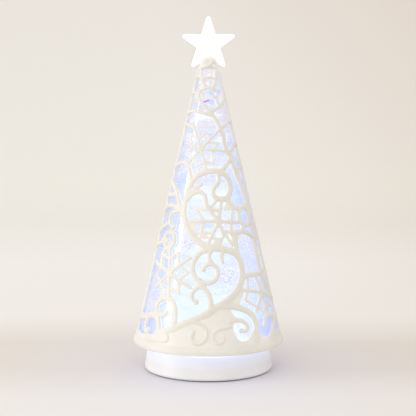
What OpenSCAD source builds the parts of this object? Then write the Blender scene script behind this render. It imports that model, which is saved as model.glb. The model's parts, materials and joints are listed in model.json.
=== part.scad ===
// Tree lamp: an ivory openwork cone over a lit, water-filled clear cone with a magnet-driven impeller,
// a lit star on top and a round battery base. Millimetres, axis Z, base on z = 0, front towards -Y.

/* [Lattice] */
// radius of the lattice at its bottom edge
rim_r = 64; // [62.5:0.5:66]
// height from the lattice's bottom edge to the point where its sides would meet
cone_h = 274; // [266:1:282]
// wall of the lattice, square to its surface
lattice_t = 3; // [2.6:0.1:3.2]
// how far the dome's top is below the point where the sides would meet
dome_drop = 29.5; // [28.5:0.5:31]
// height of the solid band at the rim, along the slope
band_h = 9.5; // [8.5:0.5:10.5]
// how far the rim turns down below the top of the clear cone's flange
lip_h = 2; // [1:0.5:3]
// breadth of the scrolls, as a share of the drawn breadth
stroke_w = 1; // [0.9:0.05:1.1]

/* [Star] */
// centre of the star to the points of its outline before they are rounded
star_r = 26.2; // [24.5:0.1:27.5]
// thickness of the star
star_t = 7; // [6:0.5:8]
// rounding of the star's tips
tip_r = 1.5; // [1:0.1:1.8]

/* [Base] */
// largest radius of the base, near the floor
base_r = 54.9; // [54.4:0.1:56]
// radius of the base at its top edge
base_top_r = 52.3; // [52:0.1:53]
// height of the base
base_h = 24; // [23.5:0.5:26]
// wall of the base
wall_t = 2.2; // [1.8:0.1:2.4]
// height of the rubber feet below the base
foot_h = 0.8; // [0.6:0.1:1.2]

/* [Chamber] */
// gap between the lattice and the clear cone
cone_gap = 0.5; // [0.3:0.1:0.7]
// wall of the clear cone
cone_wall = 2; // [1.6:0.1:2.4]
// height of the lit space under the water, above the base
light_h = 18.5; // [18:0.5:20]
// radius of the impeller
impeller_r = 16; // [14.5:0.5:18]
// clearance of the impeller on its pin, on the radius
pin_clear = 0.05; // [0.04:0.01:0.08]

/* [Motor] */
// diameter of the motor can
motor_d = 24.4; // [23:0.1:25]
// length of the motor can
motor_l = 12.3; // [11.5:0.1:12.5]
// diameter of the motor shaft
shaft_d = 2; // [1.8:0.1:2.3]
// clearance of the shaft in the motor, on the radius
shaft_clear = 0.04; // [0.03:0.01:0.08]

/* [Battery] */
// diameter of an AA cell
cell_d = 14.5; // [14:0.1:14.5]
// length of an AA cell with its nub
cell_l = 50.5; // [49.5:0.1:50.5]
// clearance round the battery door
door_gap = 0.4; // [0.3:0.1:0.6]
// clearance of the door's hinge pins, on the radius
hinge_clear = 0.06; // [0.05:0.01:0.09]

/* [Switch] */
// travel of the slide switch
knob_travel = 4; // [3:0.5:5]
// clearance of the knob in its slot
knob_gap = 0.3; // [0.3:0.1:0.4]

/* [Hidden] */
$fn = 64;
ivory = [0.93, 0.91, 0.85];
white = [0.93, 0.93, 0.92];
clear = [0.8, 0.9, 0.95, 0.4];
steel = [0.7, 0.71, 0.73];
brass = [0.78, 0.66, 0.35];
black = [0.12, 0.12, 0.13];

// slope of the lattice and its offset faces
slant = sqrt(rim_r * rim_r + cone_h * cone_h);
sa = rim_r / slant;
ca = cone_h / slant;
alpha = asin(sa);
flange_t = 2;
lat_z = base_h + flange_t;
apex_z = lat_z + cone_h;
d_out = lattice_t + cone_gap;
d_in = d_out + cone_wall;
function r_at(z, d) = (apex_z - z) * sa / ca - d / ca;
dome_r = dome_drop * sa / (1 - sa);
dome_z = apex_z - dome_drop - dome_r;
dome_top = dome_z + dome_r;
turn_z = dome_z + dome_r * sa;

// battery tray, centred under the deck
deck_t = 2.4;
deck_z = base_h - deck_t;
cover_z = foot_h;
cover_t = 2.2;
cover_top = cover_z + cover_t;
tray_t = 1.4;
pitch = cell_d + 0.4;
tray_x = 1.5 * pitch + 0.3;
tray_y = cell_l / 2 + 3.75;
cell_z = deck_z - 1.6 - cell_d / 2;
plate_t = 0.5;
hinge_y = -(tray_y + tray_t + 2.6);
hinge_r = 1.7;
hinge_pin = 1;
hinge_z = cover_z + hinge_r;
door_w = 2 * tray_x + 2 * tray_t;
door_y = tray_y + tray_t + 0.6;
cover_r = base_r - 3.4;
boss_r = base_r - 9.9;
boss_a = [45, 135, 225, 315];
foot_x = cover_r - 10.5;
foot_y = 14;
foot_d = 8;
foot_at = [[foot_x, foot_y], [-foot_x, foot_y], [-foot_x, -foot_y], [foot_x, -foot_y]];
knob_x = cover_r - 15.5;
knob_w = 3.4;
knob_l = 5;
switch_h = 6;
switch_w = 9;
switch_l = 19;

// drive and chamber
motor_z = base_h;
motor_top = motor_z + motor_l;
shaft_r = shaft_d / 2;
carrier_z = motor_top + 2;
carrier_t = 3.2;
mag_r = 4;
mag_h = 2.4;
mag_at = impeller_r * 0.62;
floor_z = base_h + light_h;
floor_t = 2.2;
floor_top = floor_z + floor_t;
pin_r = 1.2;
hub_z = floor_top + 1;
hub_h = 9;
seal_t = 1;
ledge_z = floor_top + seal_t;
ledge_w = 4;
board_z = base_h + 2.4;
board_t = 1.6;
screw_at = base_top_r - 6.3;
screw_a = [0, 90, 180, 270];
board_in = 24;
board_out = screw_at - 5;
led_at = board_out - 9.5;
board_screw_at = board_out - 3;
// leads up to the board, from the cells and from the switch
leads = concat(
    [for (s = [-1, 1]) [[s * pitch, tray_y + 4.4, cell_z + 2.2], [s * pitch, board_out - 7.6, board_z]]],
    [[[knob_x, 0, cover_top + switch_h], [board_out - 5, 0, board_z]]]);
board_a = [40, 160, 280];
ear = 5.3;
plug_r = 4;
plug_x = -(r_at(floor_z, d_in) - 20.5);
water_top = dome_z - 6;

// the lattice is drawn flat: u across and v up from the rim at the front, on a cone of this slope and slant
draw_s = 281.4;
draw_sin = 0.2273;
function unit(a) = a / max(norm(a), 1e-6);
function polar(p) = [atan2(p[0], draw_s - p[1]) / draw_sin, norm([p[0], draw_s - p[1]]) * slant / draw_s];
function on_cone(f, s, h) = let (r = s * sa + h * ca, z = apex_z - s * ca + h * sa)
    [r * sin(f), -r * cos(f), z];
function lat_pt(p, h, back) = let (q = polar(p)) on_cone(q[0] + back, q[1], h);
function edge_pt(v) = [(draw_s - v) * tan(90 * draw_sin), v];

// a smooth curve through points
function blend(a, b, c, d, t) = 0.5 * (2 * b + (c - a) * t + (2 * a - 5 * b + 4 * c - d) * t * t
    + (3 * b - a - 3 * c + d) * t * t * t);
function curve(p, n) = let (m = len(p)) concat([for (i = [0:m - 2]) for (k = [0:n - 1])
    blend(p[max(i - 1, 0)], p[i], p[i + 1], p[min(i + 2, m - 1)], k / n)], [p[m - 1]]);

// scrolls: breadth at the start, breadth at the end, points
scrolls = [
    [4.6, 5.2, [[-50, 19], [-34, 21], [-19, 26.5], [-5, 32], [7, 39], [20, 47.5], [28, 57], [31, 67],
        [29.5, 77], [24, 84], [14, 87.5], [4, 88.5]]],
    [4.8, 4, [[6, 88.5], [-4, 90.5], [-12, 96.5], [-18, 104], [-21.5, 113], [-22.3, 122], [-20, 132],
        [-15.5, 142.5], [-9, 149.5], [-1, 152], [7, 152.7], [14.5, 150.5], [19.5, 144.5], [20.3, 137],
        [17.5, 131], [12.5, 129]]],
    [3.4, 3, [[14, 129], [7, 130], [4, 133.5], [5, 138.5], [8.5, 143], [9, 148], [7.5, 152]]],
    [3.8, 2.8, [[3, 88], [-7, 84], [-12.5, 77], [-13.5, 69.5], [-10, 62.5], [-3.5, 59], [3.5, 60],
        [7.8, 65], [7.5, 71], [3.5, 74.5], [-1.5, 74], [-4.3, 70.5]]],
    [3, 2.4, [[3, 87], [0.5, 82], [1.5, 77.5], [5.5, 73.5]]],
    [3.4, 1.6, [[14, 87], [11.3, 82], [12.7, 75.5]]],
    [4, 2.4, [[0, 33], [1.8, 39], [1.5, 46], [-1.5, 52.5], [-6.5, 56], [-11.5, 54], [-14.3, 49.5],
        [-13.5, 45.5], [-10.5, 43.5]]],
    [3.4, 3.4, [[-6.5, 55.5], [-8, 62]]],
    [4.4, 2.8, [[-31, 21], [-29.5, 32], [-30.5, 41], [-35, 46.3], [-42, 47.5], [-48.8, 45], [-51.3, 40],
        [-48.5, 34.8], [-43.5, 33], [-39.5, 35]]],
    [4.6, 3.6, [[-47.8, 15], [-47.3, 24], [-49.5, 30.5], [-54.5, 33.8], [-60, 33.5], [-63.8, 29.5],
        [-64.5, 24.5], [-62.5, 21], [-59, 21.8]]],
    [5, 4.6, [[-52, 34], [-60, 34.6], [-70, 34.2], [-80, 35.5], [-92, 39]]],
    [4.6, 4.6, [[9, 40], [20, 40], [30, 38], [38, 35], [43, 30], [45, 23], [45, 12]]],
    [3.4, 2.4, [[19, 27.5], [24, 28.3], [30, 27.8], [34.5, 25], [35, 21.5], [32, 19.5], [29, 20]]],
    [3.6, 2.2, [[75, 26], [72, 32.5], [67, 35], [61.5, 34.3], [58, 31], [57, 27]]],
    [4, 4, [[68, 14], [69.5, 21], [73, 29], [80, 37], [89, 41]]],
    [3.2, 2.6, [[-19.5, 129], [-14, 134], [-8, 135.3], [-3.5, 132.5], [-2.3, 127.5], [-1, 122.5], [4, 116],
        [8.5, 111]]],
    [3.2, 2.4, [[-19, 133], [-12, 138], [-5.5, 142]]],
    [3.6, 4.4, [[10, 189], [14, 183], [15.5, 176], [18.5, 169.5], [22.5, 165.5], [25, 158.5], [29, 152],
        [34, 144], [39, 135], [43.5, 125], [46.5, 115], [49.5, 104], [51.5, 92], [54, 80], [60, 68],
        [70, 58], [84, 52]]],
    [3, 2.8, [[20, 168], [26, 175], [33, 179], [39, 180]]],
    [3, 2.8, [[27, 153], [34, 158], [40, 161], [46, 162]]],
    [3.2, 3.2, [[22.5, 165.5], [16, 157.5], [9, 152]]],
    [2.8, 3.4, [[-45, 160], [-32, 161.5], [-24, 161], [-19.5, 157.5], [-16.5, 150], [-15, 143]]],
    [3.4, 3.2, [[17, 130], [22, 124.5], [28, 122], [34.5, 124.5], [42, 127]]],
    [3, 3, [[20, 101], [28, 102.5], [36, 102.7], [44, 101.5], [52, 99]]],
    [3.2, 3.2, [[31, 64], [37, 66.6], [45, 67.6], [53, 69.5], [60, 73]]],
    [3, 3, [[34.5, 110], [33, 103]]],
    [3, 3.6, [[20, 103], [24.5, 95], [26.5, 83]]],
    [3.6, 3.4, [[-23, 112], [-26, 121], [-29.5, 129.5], [-33, 138], [-40, 145], [-50, 149]]],
    [3.2, 3.2, [[-28, 122], [-37, 126], [-47, 127], [-58, 125]]],
    [3, 3, [[-31, 136], [-39, 135.5], [-47, 137], [-54, 136]]],
    [3, 3, [[-20, 108], [-28, 108], [-33, 106]]],
    [3.4, 3.6, [[-38.5, 111.5], [-46, 110.5], [-56, 109], [-65, 107]]],
    [2.8, 2.8, [[-50, 98.5], [-45, 98], [-41, 96.5]]],
    [3, 3, [[-35, 107], [-37, 103]]],
    [3, 3, [[-42, 91], [-47, 85], [-49, 76]]],
    [3, 3, [[-44, 98], [-56, 96], [-69, 97]]],
    [3.6, 2.2, [[12.5, 186], [9, 192], [6, 197], [2, 202.5], [-3.5, 207], [-7.5, 212], [-9.2, 217],
        [-7, 221.5], [-1, 223], [5, 221.5], [8, 218], [6.5, 215], [3.5, 216]]],
    [3, 2.6, [[4.5, 199], [-5, 202], [-13, 204], [-22, 204.5], [-30, 204]]],
    [3, 2.6, [[2, 202], [7.5, 205.5], [12, 209], [15.5, 214], [16.5, 220], [16, 229], [15, 240]]],
    [2.2, 2.2, [[6.8, 215], [8.5, 210.5], [11.5, 207.5]]],
    [3, 2.8, [[10.5, 188], [16, 192], [22, 196], [32, 199]]],
    [2.8, 2.8, [[-32, 197], [-24, 194.5], [-14, 190]]],
    [2.6, 2.6, [[-5.5, 242], [-6.2, 233], [-4.5, 228], [-3.5, 222]]],
    [2.6, 2.6, [[7.5, 242], [7.8, 233], [6.5, 228.5], [4.5, 221]]],
    [2.2, 2, [[-5.5, 231], [-1, 231.6], [3, 231.6], [6.5, 230]]],
    [2.6, 2.6, [[-8.8, 217], [-14, 220], [-22, 221]]],
    [2.6, 2.6, [[-5.8, 232], [-11, 234], [-17, 234]]]
];

// rings: centre, radius, breadth
rings = [[36.4, 116.6, 7.6, 2.9], [-33.5, 113.7, 6.4, 2.8], [-39, 96.5, 7, 3]];

// solid webs: points across, each with its lower and upper edge
webs = [
    [[-50, 10.5, 19], [-34, 8, 21], [-19, 6, 26.5], [-5, 6, 32], [7, 6, 39], [13, 6, 40], [18, 6, 38.5],
        [20.5, 6.5, 35], [21.5, 7, 28], [22, 7, 15]],
    [[21.5, 7, 16], [24, 7, 12.5], [28, 7, 10.5]],
    [[35, 8, 11.5], [38, 8, 14], [41, 8, 20], [45, 9, 25], [48, 9, 20], [52, 10, 16]],
    [[61, 12, 16.5], [65, 13, 20], [68, 14, 26], [72, 15, 25], [78, 17, 21.5]],
    [[-82, 19, 24], [-74, 16, 20], [-66, 14, 19.5], [-58, 12, 18], [-48, 10, 19]],
    [[13.5, 119, 121.5], [17, 120, 129], [20, 121, 129], [24, 121, 124]],
    [[20, 99, 102], [22, 92.5, 102.5], [24.5, 90, 103], [27, 95.5, 103], [30, 100.5, 103.5]],
    [[-10, 119.6, 121.4], [-1, 118.6, 123.5], [2, 117.5, 123.5]],
    [[-18, 105, 112], [-14, 101.5, 112.2], [-11, 101.5, 110]]
];

// raised curls on the solid part, as the scrolls, and a raised leaf, as the webs
raised = [
    [2, 3, [[-13, 27.5], [-6.5, 25], [-2.4, 21], [-1.6, 15.8], [-4, 11], [-9, 9], [-13.4, 11], [-14.8, 15],
        [-13, 18.4]]],
    [2, 2.8, [[20, 23.5], [14, 22], [8.4, 20.8], [4.2, 17.4], [3.8, 12.8], [6.6, 9.6], [10.4, 9.4],
        [12.8, 12], [12.2, 15.2]]]
];
leaf = [[-70, 14.2, 15.2], [-58, 12.6, 16.2], [-48, 11.4, 17], [-41, 10.6, 17.4], [-37.5, 11, 17],
    [-35.5, 12.6, 15.4]];

// snowflakes: centre, hub, breadth of arms and of bars, each arm's way and reach, and the bars
flakes = [
    [[9, 110.5], 6.5, 3.2, 2.6, [[0, 19.5], [82, 17], [180, 24], [243, 20], [292, 12]],
        [[[-5, 112], [-11, 120.5]], [[2.5, 122.5], [8.5, 130]], [[3.5, 120.2], [10.5, 119.6]],
        [[22.2, 120.5], [20.8, 112]], [[-4.7, 109], [-6.3, 101]], [[-12, 101], [-6.5, 100.6], [2, 101]],
        [[9.5, 91], [14.5, 100.5], [21.5, 90.5]], [[5.2, 96.3], [10.5, 95.5]],
        [[20.6, 109.5], [20.6, 102.5]], [[14.5, 102.2], [21, 102.2]]]],
    [[-37, 68], 7, 3.2, 2.4, [[30, 25], [90, 25], [150, 25], [210, 21], [272, 23], [330, 25]],
        [[[-26.6, 74], [-17.5, 68], [-26.6, 62], [-26, 50.5], [-37, 55.5], [-45.5, 51], [-47.5, 62],
        [-56, 68], [-47.5, 74], [-46.8, 85], [-37, 80], [-27.2, 85], [-26.6, 74]]]],
    [[55, 53], 7, 3, 2.4, [[0, 24], [60, 24], [120, 17], [178, 25], [240, 19], [300, 22]],
        [[[36.5, 66.5], [36.5, 54], [34.5, 43.5]], [[47, 41], [38, 44.5]],
        [[66.5, 53], [71, 62.5], [61, 63], [56, 70]],
        [[66.5, 53], [71, 43.5], [61, 43], [55, 36], [48, 41]]]],
    [[-7, 171], 5, 2.4, 2, [[-3, 27], [45, 24], [107, 21], [157, 17], [222, 17], [287, 20]],
        [[[0, 176.5], [9, 176.5], [4, 170.5]], [[2.5, 170], [5, 158.5], [-1.5, 160.5]],
        [[-9.5, 178], [-2.5, 185.5], [1.5, 179.5]], [[-11, 182], [-17.5, 184], [-15.5, 175]],
        [[-14.5, 173.5], [-22, 168], [-14.5, 164]], [[-13.5, 164.5], [-10, 157], [-3.5, 160]]]]
];

// round ends of the curls
tips = [[-4.3, 70.5], [-10.5, 43.5], [-39.3, 35.3], [-59.5, 22.5], [29, 20], [57, 27], [3.5, 216]];

// helpers
module at_ring(r, a) {
    for (t = a) rotate([0, 0, t]) translate([r, 0, 0]) children();
}

module screw(len, d, head_d, head_h) {
    cylinder(d = d, h = len);
    translate([0, 0, -head_h]) cylinder(d = head_d, h = head_h);
}

module straight(a, b, d) {
    v = b - a;
    translate(a) rotate([0, acos(v[2] / norm(v)), atan2(v[1], v[0])])
        cylinder(d = d, h = norm(v), $fn = 16);
}

// joins rings of four points into one solid, open-ended or round in a loop
module skin(rows, loop = false) {
    m = len(rows);
    n = 4 * m;
    polyhedron(points = [for (r = rows) for (p = r) p], faces = concat(
        loop ? [] : [[3, 2, 1], [3, 1, 0], [n - 4, n - 3, n - 2], [n - 4, n - 2, n - 1]],
        [for (i = [0:m - (loop ? 1 : 2)]) for (j = [0:3]) for (k = [0, 1])
            let (a = 4 * i + j, b = 4 * i + (j + 1) % 4, c = (a + 4) % n, d = (b + 4) % n)
            k == 0 ? [a, b, d] : [a, d, c]]), convexity = 6);
}

// each stroke has a level, so that strokes which cross aren't flush
module stroke(w0, w1, pts, n, back, level, loop = false, foot = 0) {
    p = curve(pts, n);
    m = len(p);
    low = -lattice_t + 0.12 * level + foot;
    top = -0.2 * level;
    skin([for (i = [0:m - 1]) let (t = unit(loop ? p[(i + 1) % m] - p[(i + m - 1) % m]
        : p[min(i + 1, m - 1)] - p[max(i - 1, 0)]), s = [-t[1], t[0]],
        w = stroke_w * (w0 + (w1 - w0) * i / (m - 1) + 0.4) / 2)
        [lat_pt(p[i] + s * w, low, back), lat_pt(p[i] - s * w, low, back),
            lat_pt(p[i] - s * w * 0.7, top, back), lat_pt(p[i] + s * w * 0.7, top, back)]], loop);
}

module web(rows, back, top = -0.9, foot = 0.6) {
    low = -lattice_t + foot;
    skin([for (q = rows) [lat_pt([q[0], q[2]], low, back), lat_pt([q[0], q[1]], low, back),
        lat_pt([q[0], q[1]], top, back), lat_pt([q[0], q[2]], top, back)]]);
}

module post(p, w, back, sides) {
    q = polar(p);
    rotate([0, 0, q[0] + back - 90]) translate([q[1] * sa, 0, apex_z - q[1] * ca])
        rotate([0, 90 - alpha, 0]) translate([0, 0, 0.9 - lattice_t])
        cylinder(d = w, h = lattice_t - 1.5, $fn = sides);
}

// arms on a hub, with bars across them
module flake(c, back) {
    o = c[0];
    hull() post(o, c[1] * stroke_w, back, 6);
    for (i = [0:len(c[4]) - 1]) let (a = c[4][i][0], d = [cos(a), sin(a)], r = c[4][i][1])
        stroke(c[2], c[2] - 0.2, [o + 1.5 * d, o + 0.5 * r * d, o + r * d], 1, back, 3.2 + 0.3 * (i % 2));
    for (i = [0:len(c[5]) - 1]) stroke(c[3], c[3], c[5][i], 1, back, 4.5 + 0.4 * (i % 3));
}

// base
module base_housing() {
    color(white) difference() {
        union() {
            difference() {
                rotate_extrude() polygon(concat([[0, cover_z], [base_r - 2.4, cover_z]],
                    [for (a = [-75:15:0]) [base_r - 2.4 + 2.4 * cos(a), cover_z + 2.4 + 2.4 * sin(a)]],
                    [for (a = [0:30:90]) [base_top_r - 1.2 + 1.2 * cos(a), base_h - 1.2 + 1.2 * sin(a)]],
                    [[0, base_h]]));
                rotate_extrude() polygon([[0, cover_z - 1], [cover_r + 0.2, cover_z - 1],
                    [cover_r + 0.2, cover_top], [base_r - wall_t - 1.2, cover_top + 1.2],
                    [base_top_r - wall_t, deck_z], [0, deck_z]]);
            }
            at_ring(boss_r, boss_a) translate([0, 0, cover_top])
                cylinder(d = 7, h = deck_z - cover_top + 0.1);
            at_ring(board_screw_at, board_a) translate([0, 0, base_h - 0.1])
                cylinder(d = 5, h = board_z - base_h + 0.1);
        }
        at_ring(boss_r, boss_a) translate([0, 0, cover_top - 1]) cylinder(r = 1.25, h = 11);
        at_ring(board_screw_at, board_a) translate([0, 0, base_h - 1]) cylinder(r = 0.9, h = 6);
        at_ring(screw_at, screw_a) translate([0, 0, deck_z - 1]) cylinder(r = 1.6, h = deck_t + 2);
        for (s = [-1, 1]) translate([s * (motor_d / 2 + ear), 0, deck_z - 1])
            cylinder(r = 0.95, h = deck_t + 2);
        for (l = leads) straight(l[0], l[1], 3);
    }
}

module battery_tray() {
    color(white) difference() {
        translate([-tray_x - tray_t, -tray_y - tray_t, cover_top + 0.2])
            cube([2 * (tray_x + tray_t), 2 * (tray_y + tray_t), deck_z - cover_top - 0.2]);
        translate([-tray_x, -tray_y, cover_top - 1]) cube([2 * tray_x, 2 * tray_y, deck_z - cover_top + 2]);
        for (s = [-1, 1]) translate([s * pitch - 2.2, tray_y - 1, cell_z + 0.6]) cube([4.4, tray_t + 2, 3]);
    }
}

module bottom_cover() {
    color(white) difference() {
        union() {
            translate([0, 0, cover_z]) cylinder(r = cover_r, h = cover_t);
            for (s = [-1, 1])
                translate([s * (door_w / 2 + door_gap + 2) - 2, hinge_y - 2.6, cover_top - 0.1])
                    cube([4, 5.2, 2.5]);
        }
        translate([-door_w / 2 - door_gap, hinge_y - hinge_r - door_gap, cover_z - 1])
            cube([door_w + 2 * door_gap, door_y - hinge_y + hinge_r + 2 * door_gap, 8]);
        translate([0, hinge_y, hinge_z]) rotate([0, 90, 0])
            cylinder(r = hinge_pin + hinge_clear, h = door_w + 2 * door_gap + 5, center = true);
        at_ring(boss_r, boss_a) translate([0, 0, cover_z - 1]) cylinder(r = 1.6, h = cover_t + 2);
        at_ring(boss_r, boss_a) translate([0, 0, cover_z - 1]) cylinder(r = 2.9, h = 2.2);
        translate([knob_x - knob_w / 2 - knob_gap, -(knob_l + knob_travel) / 2 - knob_gap, cover_z - 1])
            cube([knob_w + 2 * knob_gap, knob_l + knob_travel + 2 * knob_gap, cover_t + 2]);
    }
}

module battery_door() {
    color(white) {
        translate([-door_w / 2, hinge_y, cover_z]) cube([door_w, door_y - hinge_y, 2]);
        translate([0, hinge_y, hinge_z]) rotate([0, 90, 0])
            cylinder(r = hinge_r, h = door_w, center = true);
        translate([0, hinge_y, hinge_z]) rotate([0, 90, 0])
            cylinder(r = hinge_pin, h = door_w + 2 * door_gap + 4.4, center = true);
        for (y = [-12, 12]) translate([-tray_x + 1.5, y, cover_z + 1.9])
            cube([2 * tray_x - 3, 1.4, cell_z - cell_d / 2 - cover_z - 2.1]);
    }
}

module rubber_feet() {
    color(black) for (p = foot_at) translate(p) cylinder(d = foot_d, h = foot_h);
}

module cover_screws() {
    color(steel) at_ring(boss_r, boss_a) translate([0, 0, cover_z + 1.2]) difference() {
        screw(8, 2.4, 5, 1);
        translate([-1.8, -0.3, -1.1]) cube([3.6, 0.6, 0.6]);
    }
}

module cell(turn) {
    rotate([0, 0, turn]) rotate([-90, 0, 0]) {
        translate([0, 0, -cell_l / 2]) cylinder(d = cell_d, h = cell_l - 1);
        translate([0, 0, cell_l / 2 - 1.1]) cylinder(d = 5.5, h = 1.1);
    }
}

module aa_cell_1() {
    color([0.2, 0.35, 0.3]) translate([-pitch, 0, cell_z]) cell(0);
}

module aa_cell_2() {
    color([0.2, 0.35, 0.3]) translate([0, 0, cell_z]) cell(180);
}

module aa_cell_3() {
    color([0.2, 0.35, 0.3]) translate([pitch, 0, cell_z]) cell(0);
}

// three turns of wire between a cell's flat end and its plate
module coil() {
    turns = 3;
    steps = 10;
    gap = tray_y - plate_t - cell_l / 2;
    w = 0.35;
    skin([for (i = [0:turns * steps]) let (a = 360 * i / steps, k = i / (turns * steps), r = 2.4 + 2 * k,
        z = w + (gap - 2 * w) * k)
        [[(r - w) * cos(a), (r - w) * sin(a), z - w], [(r + w) * cos(a), (r + w) * sin(a), z - w],
            [(r + w) * cos(a), (r + w) * sin(a), z + w], [(r - w) * cos(a), (r - w) * sin(a), z + w]]]);
}

module battery_springs() {
    color(steel) for (k = [-1, 0, 1]) translate([k * pitch, 0, cell_z]) rotate([0, 0, k == 0 ? 180 : 0])
        translate([0, -cell_l / 2, 0]) rotate([90, 0, 0]) coil();
}

module contact_plates() {
    color(brass) {
        for (k = [-1, 0, 1]) for (s = [-1, 1])
            translate([k * pitch - 5, s > 0 ? tray_y - plate_t : -tray_y, cell_z - 5])
                cube([10, plate_t, 10]);
        for (k = [-1, 0, 1]) translate([k * pitch, 0, cell_z]) rotate([0, 0, k == 0 ? 180 : 0])
            translate([0, cell_l / 2, 0]) rotate([-90, 0, 0])
                cylinder(d = 5, h = tray_y - plate_t - cell_l / 2 + 0.1);
        for (s = [-1, 1]) translate([s * pitch - 1.8, tray_y - plate_t, cell_z + 1.6])
            cube([3.6, tray_t + 5.2, 0.6]);
    }
}

// switch
module switch_body() {
    color(black) difference() {
        translate([knob_x - switch_w / 2, -switch_l / 2, cover_top]) cube([switch_w, switch_l, switch_h]);
        translate([knob_x - knob_w / 2 - knob_gap, -(knob_l + knob_travel) / 2 - knob_gap, cover_top - 1])
            cube([knob_w + 2 * knob_gap, knob_l + knob_travel + 2 * knob_gap, 4]);
    }
}

module switch_knob() {
    color(black) translate([knob_x, -knob_travel / 2, 0]) difference() {
        translate([-knob_w / 2, -knob_l / 2, cover_z - 0.3]) cube([knob_w, knob_l, cover_t + 2.8]);
        for (y = [-1.4, 0, 1.4]) translate([-knob_w, y - 0.3, cover_z - 0.5]) cube([2 * knob_w, 0.6, 0.6]);
    }
}

module lead_wires() {
    color([0.6, 0.1, 0.1]) {
        for (l = leads) straight(l[0], l[1], 1.4);
        straight([0, -motor_d / 2 - 0.6, motor_top - 3], [0, -board_in - 2.4, board_z + board_t + 1], 1.2);
    }
}

// motor and light
module motor_can() {
    color(steel) difference() {
        union() {
            translate([0, 0, motor_z]) cylinder(d = motor_d, h = motor_l);
            translate([0, 0, motor_top - 0.1]) cylinder(d = 6, h = 1.1);
        }
        translate([0, 0, motor_z + 2]) cylinder(r = shaft_r + shaft_clear, h = motor_l);
    }
}

module motor_bracket() {
    color(white) difference() {
        union() {
            translate([0, 0, motor_z]) cylinder(d = motor_d + 4.2, h = 7);
            translate([-motor_d / 2 - 9, -4, motor_z]) cube([motor_d + 18, 8, 2]);
        }
        translate([0, 0, motor_z - 1]) cylinder(d = motor_d + 0.1, h = 10);
        for (s = [-1, 1]) translate([s * (motor_d / 2 + ear), 0, motor_z - 1]) cylinder(r = 1.2, h = 4);
    }
}

module bracket_screws() {
    color(steel) for (s = [-1, 1]) translate([s * (motor_d / 2 + ear), 0, motor_z + 2]) rotate([180, 0, 0])
        screw(4.2, 1.8, 4, 1.2);
}

module motor_shaft() {
    color(steel) translate([0, 0, motor_z + 2.2])
        cylinder(r = shaft_r, h = carrier_z + carrier_t - motor_z - 2.7);
}

module magnet_carrier() {
    color(white) difference() {
        union() {
            translate([0, 0, carrier_z]) cylinder(r = mag_at + mag_r + 1.2, h = carrier_t);
            translate([0, 0, carrier_z - 0.7]) cylinder(r = 2.6, h = 1);
        }
        translate([0, 0, carrier_z - 1]) cylinder(r = shaft_r + 0.01, h = carrier_t + 0.5);
        for (s = [-1, 1]) translate([s * mag_at, 0, carrier_z + carrier_t - mag_h])
            cylinder(r = mag_r + 0.05, h = mag_h + 1);
    }
}

module drive_magnets() {
    color(steel) for (s = [-1, 1]) translate([s * mag_at, 0, carrier_z + carrier_t - mag_h])
        cylinder(r = mag_r, h = mag_h);
}

module led_board() {
    color([0.92, 0.94, 0.92]) difference() {
        translate([0, 0, board_z]) cylinder(r = board_out, h = board_t);
        translate([0, 0, board_z - 1]) cylinder(r = board_in, h = board_t + 2);
        at_ring(board_screw_at, board_a) translate([0, 0, board_z - 1]) cylinder(r = 1.2, h = board_t + 2);
    }
}

module board_screws() {
    color(steel) at_ring(board_screw_at, board_a) translate([0, 0, board_z + board_t])
        rotate([180, 0, 0]) screw(4.5, 1.7, 3.6, 1);
}

module leds() {
    color([0.9, 0.95, 1]) at_ring(led_at, [0:60:300]) translate([0, 0, board_z + board_t]) {
        cylinder(r = 2.9, h = 1);
        cylinder(r = 2.5, h = 5);
        translate([0, 0, 5]) sphere(r = 2.5);
    }
}

// chamber
module clear_cone() {
    top_out = dome_r - d_out;
    top_in = dome_r - d_in;
    color(clear) difference() {
        union() {
            rotate_extrude() polygon(concat([[0, lat_z - 0.1], [r_at(lat_z - 0.1, d_out), lat_z - 0.1]],
                [for (a = [alpha:(90 - alpha) / 6:90.1]) [top_out * cos(a), dome_z + top_out * sin(a)]]));
            rotate_extrude() polygon([[0, base_h], [base_top_r - 2, base_h], [rim_r - 1.5, lat_z - 0.4],
                [rim_r - 1.5, lat_z], [0, lat_z]]);
        }
        difference() {
            rotate_extrude() polygon(concat([[0, lat_z], [r_at(lat_z, d_in), lat_z]],
                [for (a = [alpha:(90 - alpha) / 4:90.1]) [top_in * cos(a), dome_z + top_in * sin(a)]]));
            rotate_extrude() polygon([[r_at(ledge_z, d_in) - ledge_w, ledge_z],
                [r_at(ledge_z, d_in) + 0.5, ledge_z],
                [r_at(ledge_z + ledge_w, d_in) + 0.5, ledge_z + ledge_w],
                [r_at(ledge_z, d_in) - ledge_w, ledge_z + 1]]);
            at_ring(screw_at, screw_a) translate([0, 0, lat_z - 0.1]) difference() {
                cylinder(d = 7, h = 7);
                translate([0, 0, -1]) cylinder(r = 1.25, h = 7);
            }
        }
        translate([0, 0, base_h - 1]) cylinder(r = screw_at - 4, h = flange_t + 2);
        at_ring(screw_at, screw_a) translate([0, 0, base_h - 1]) cylinder(r = 1.25, h = flange_t + 2);
    }
}

module cone_screws() {
    color(steel) at_ring(screw_at, screw_a) translate([0, 0, deck_z]) screw(9, 2.4, 5, 1.4);
}

module chamber_floor() {
    color(clear) difference() {
        union() {
            translate([0, 0, floor_z])
                cylinder(r1 = r_at(floor_z, d_in) - 0.1, r2 = r_at(floor_top, d_in) - 0.1, h = floor_t);
            translate([0, 0, floor_top - 0.1]) cylinder(r = 3, h = 0.7);
        }
        translate([0, 0, floor_z + 0.8]) cylinder(r = pin_r + 0.01, h = 10);
        translate([plug_x, 0, floor_z - 1]) cylinder(r = plug_r, h = floor_t + 2);
    }
}

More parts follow.
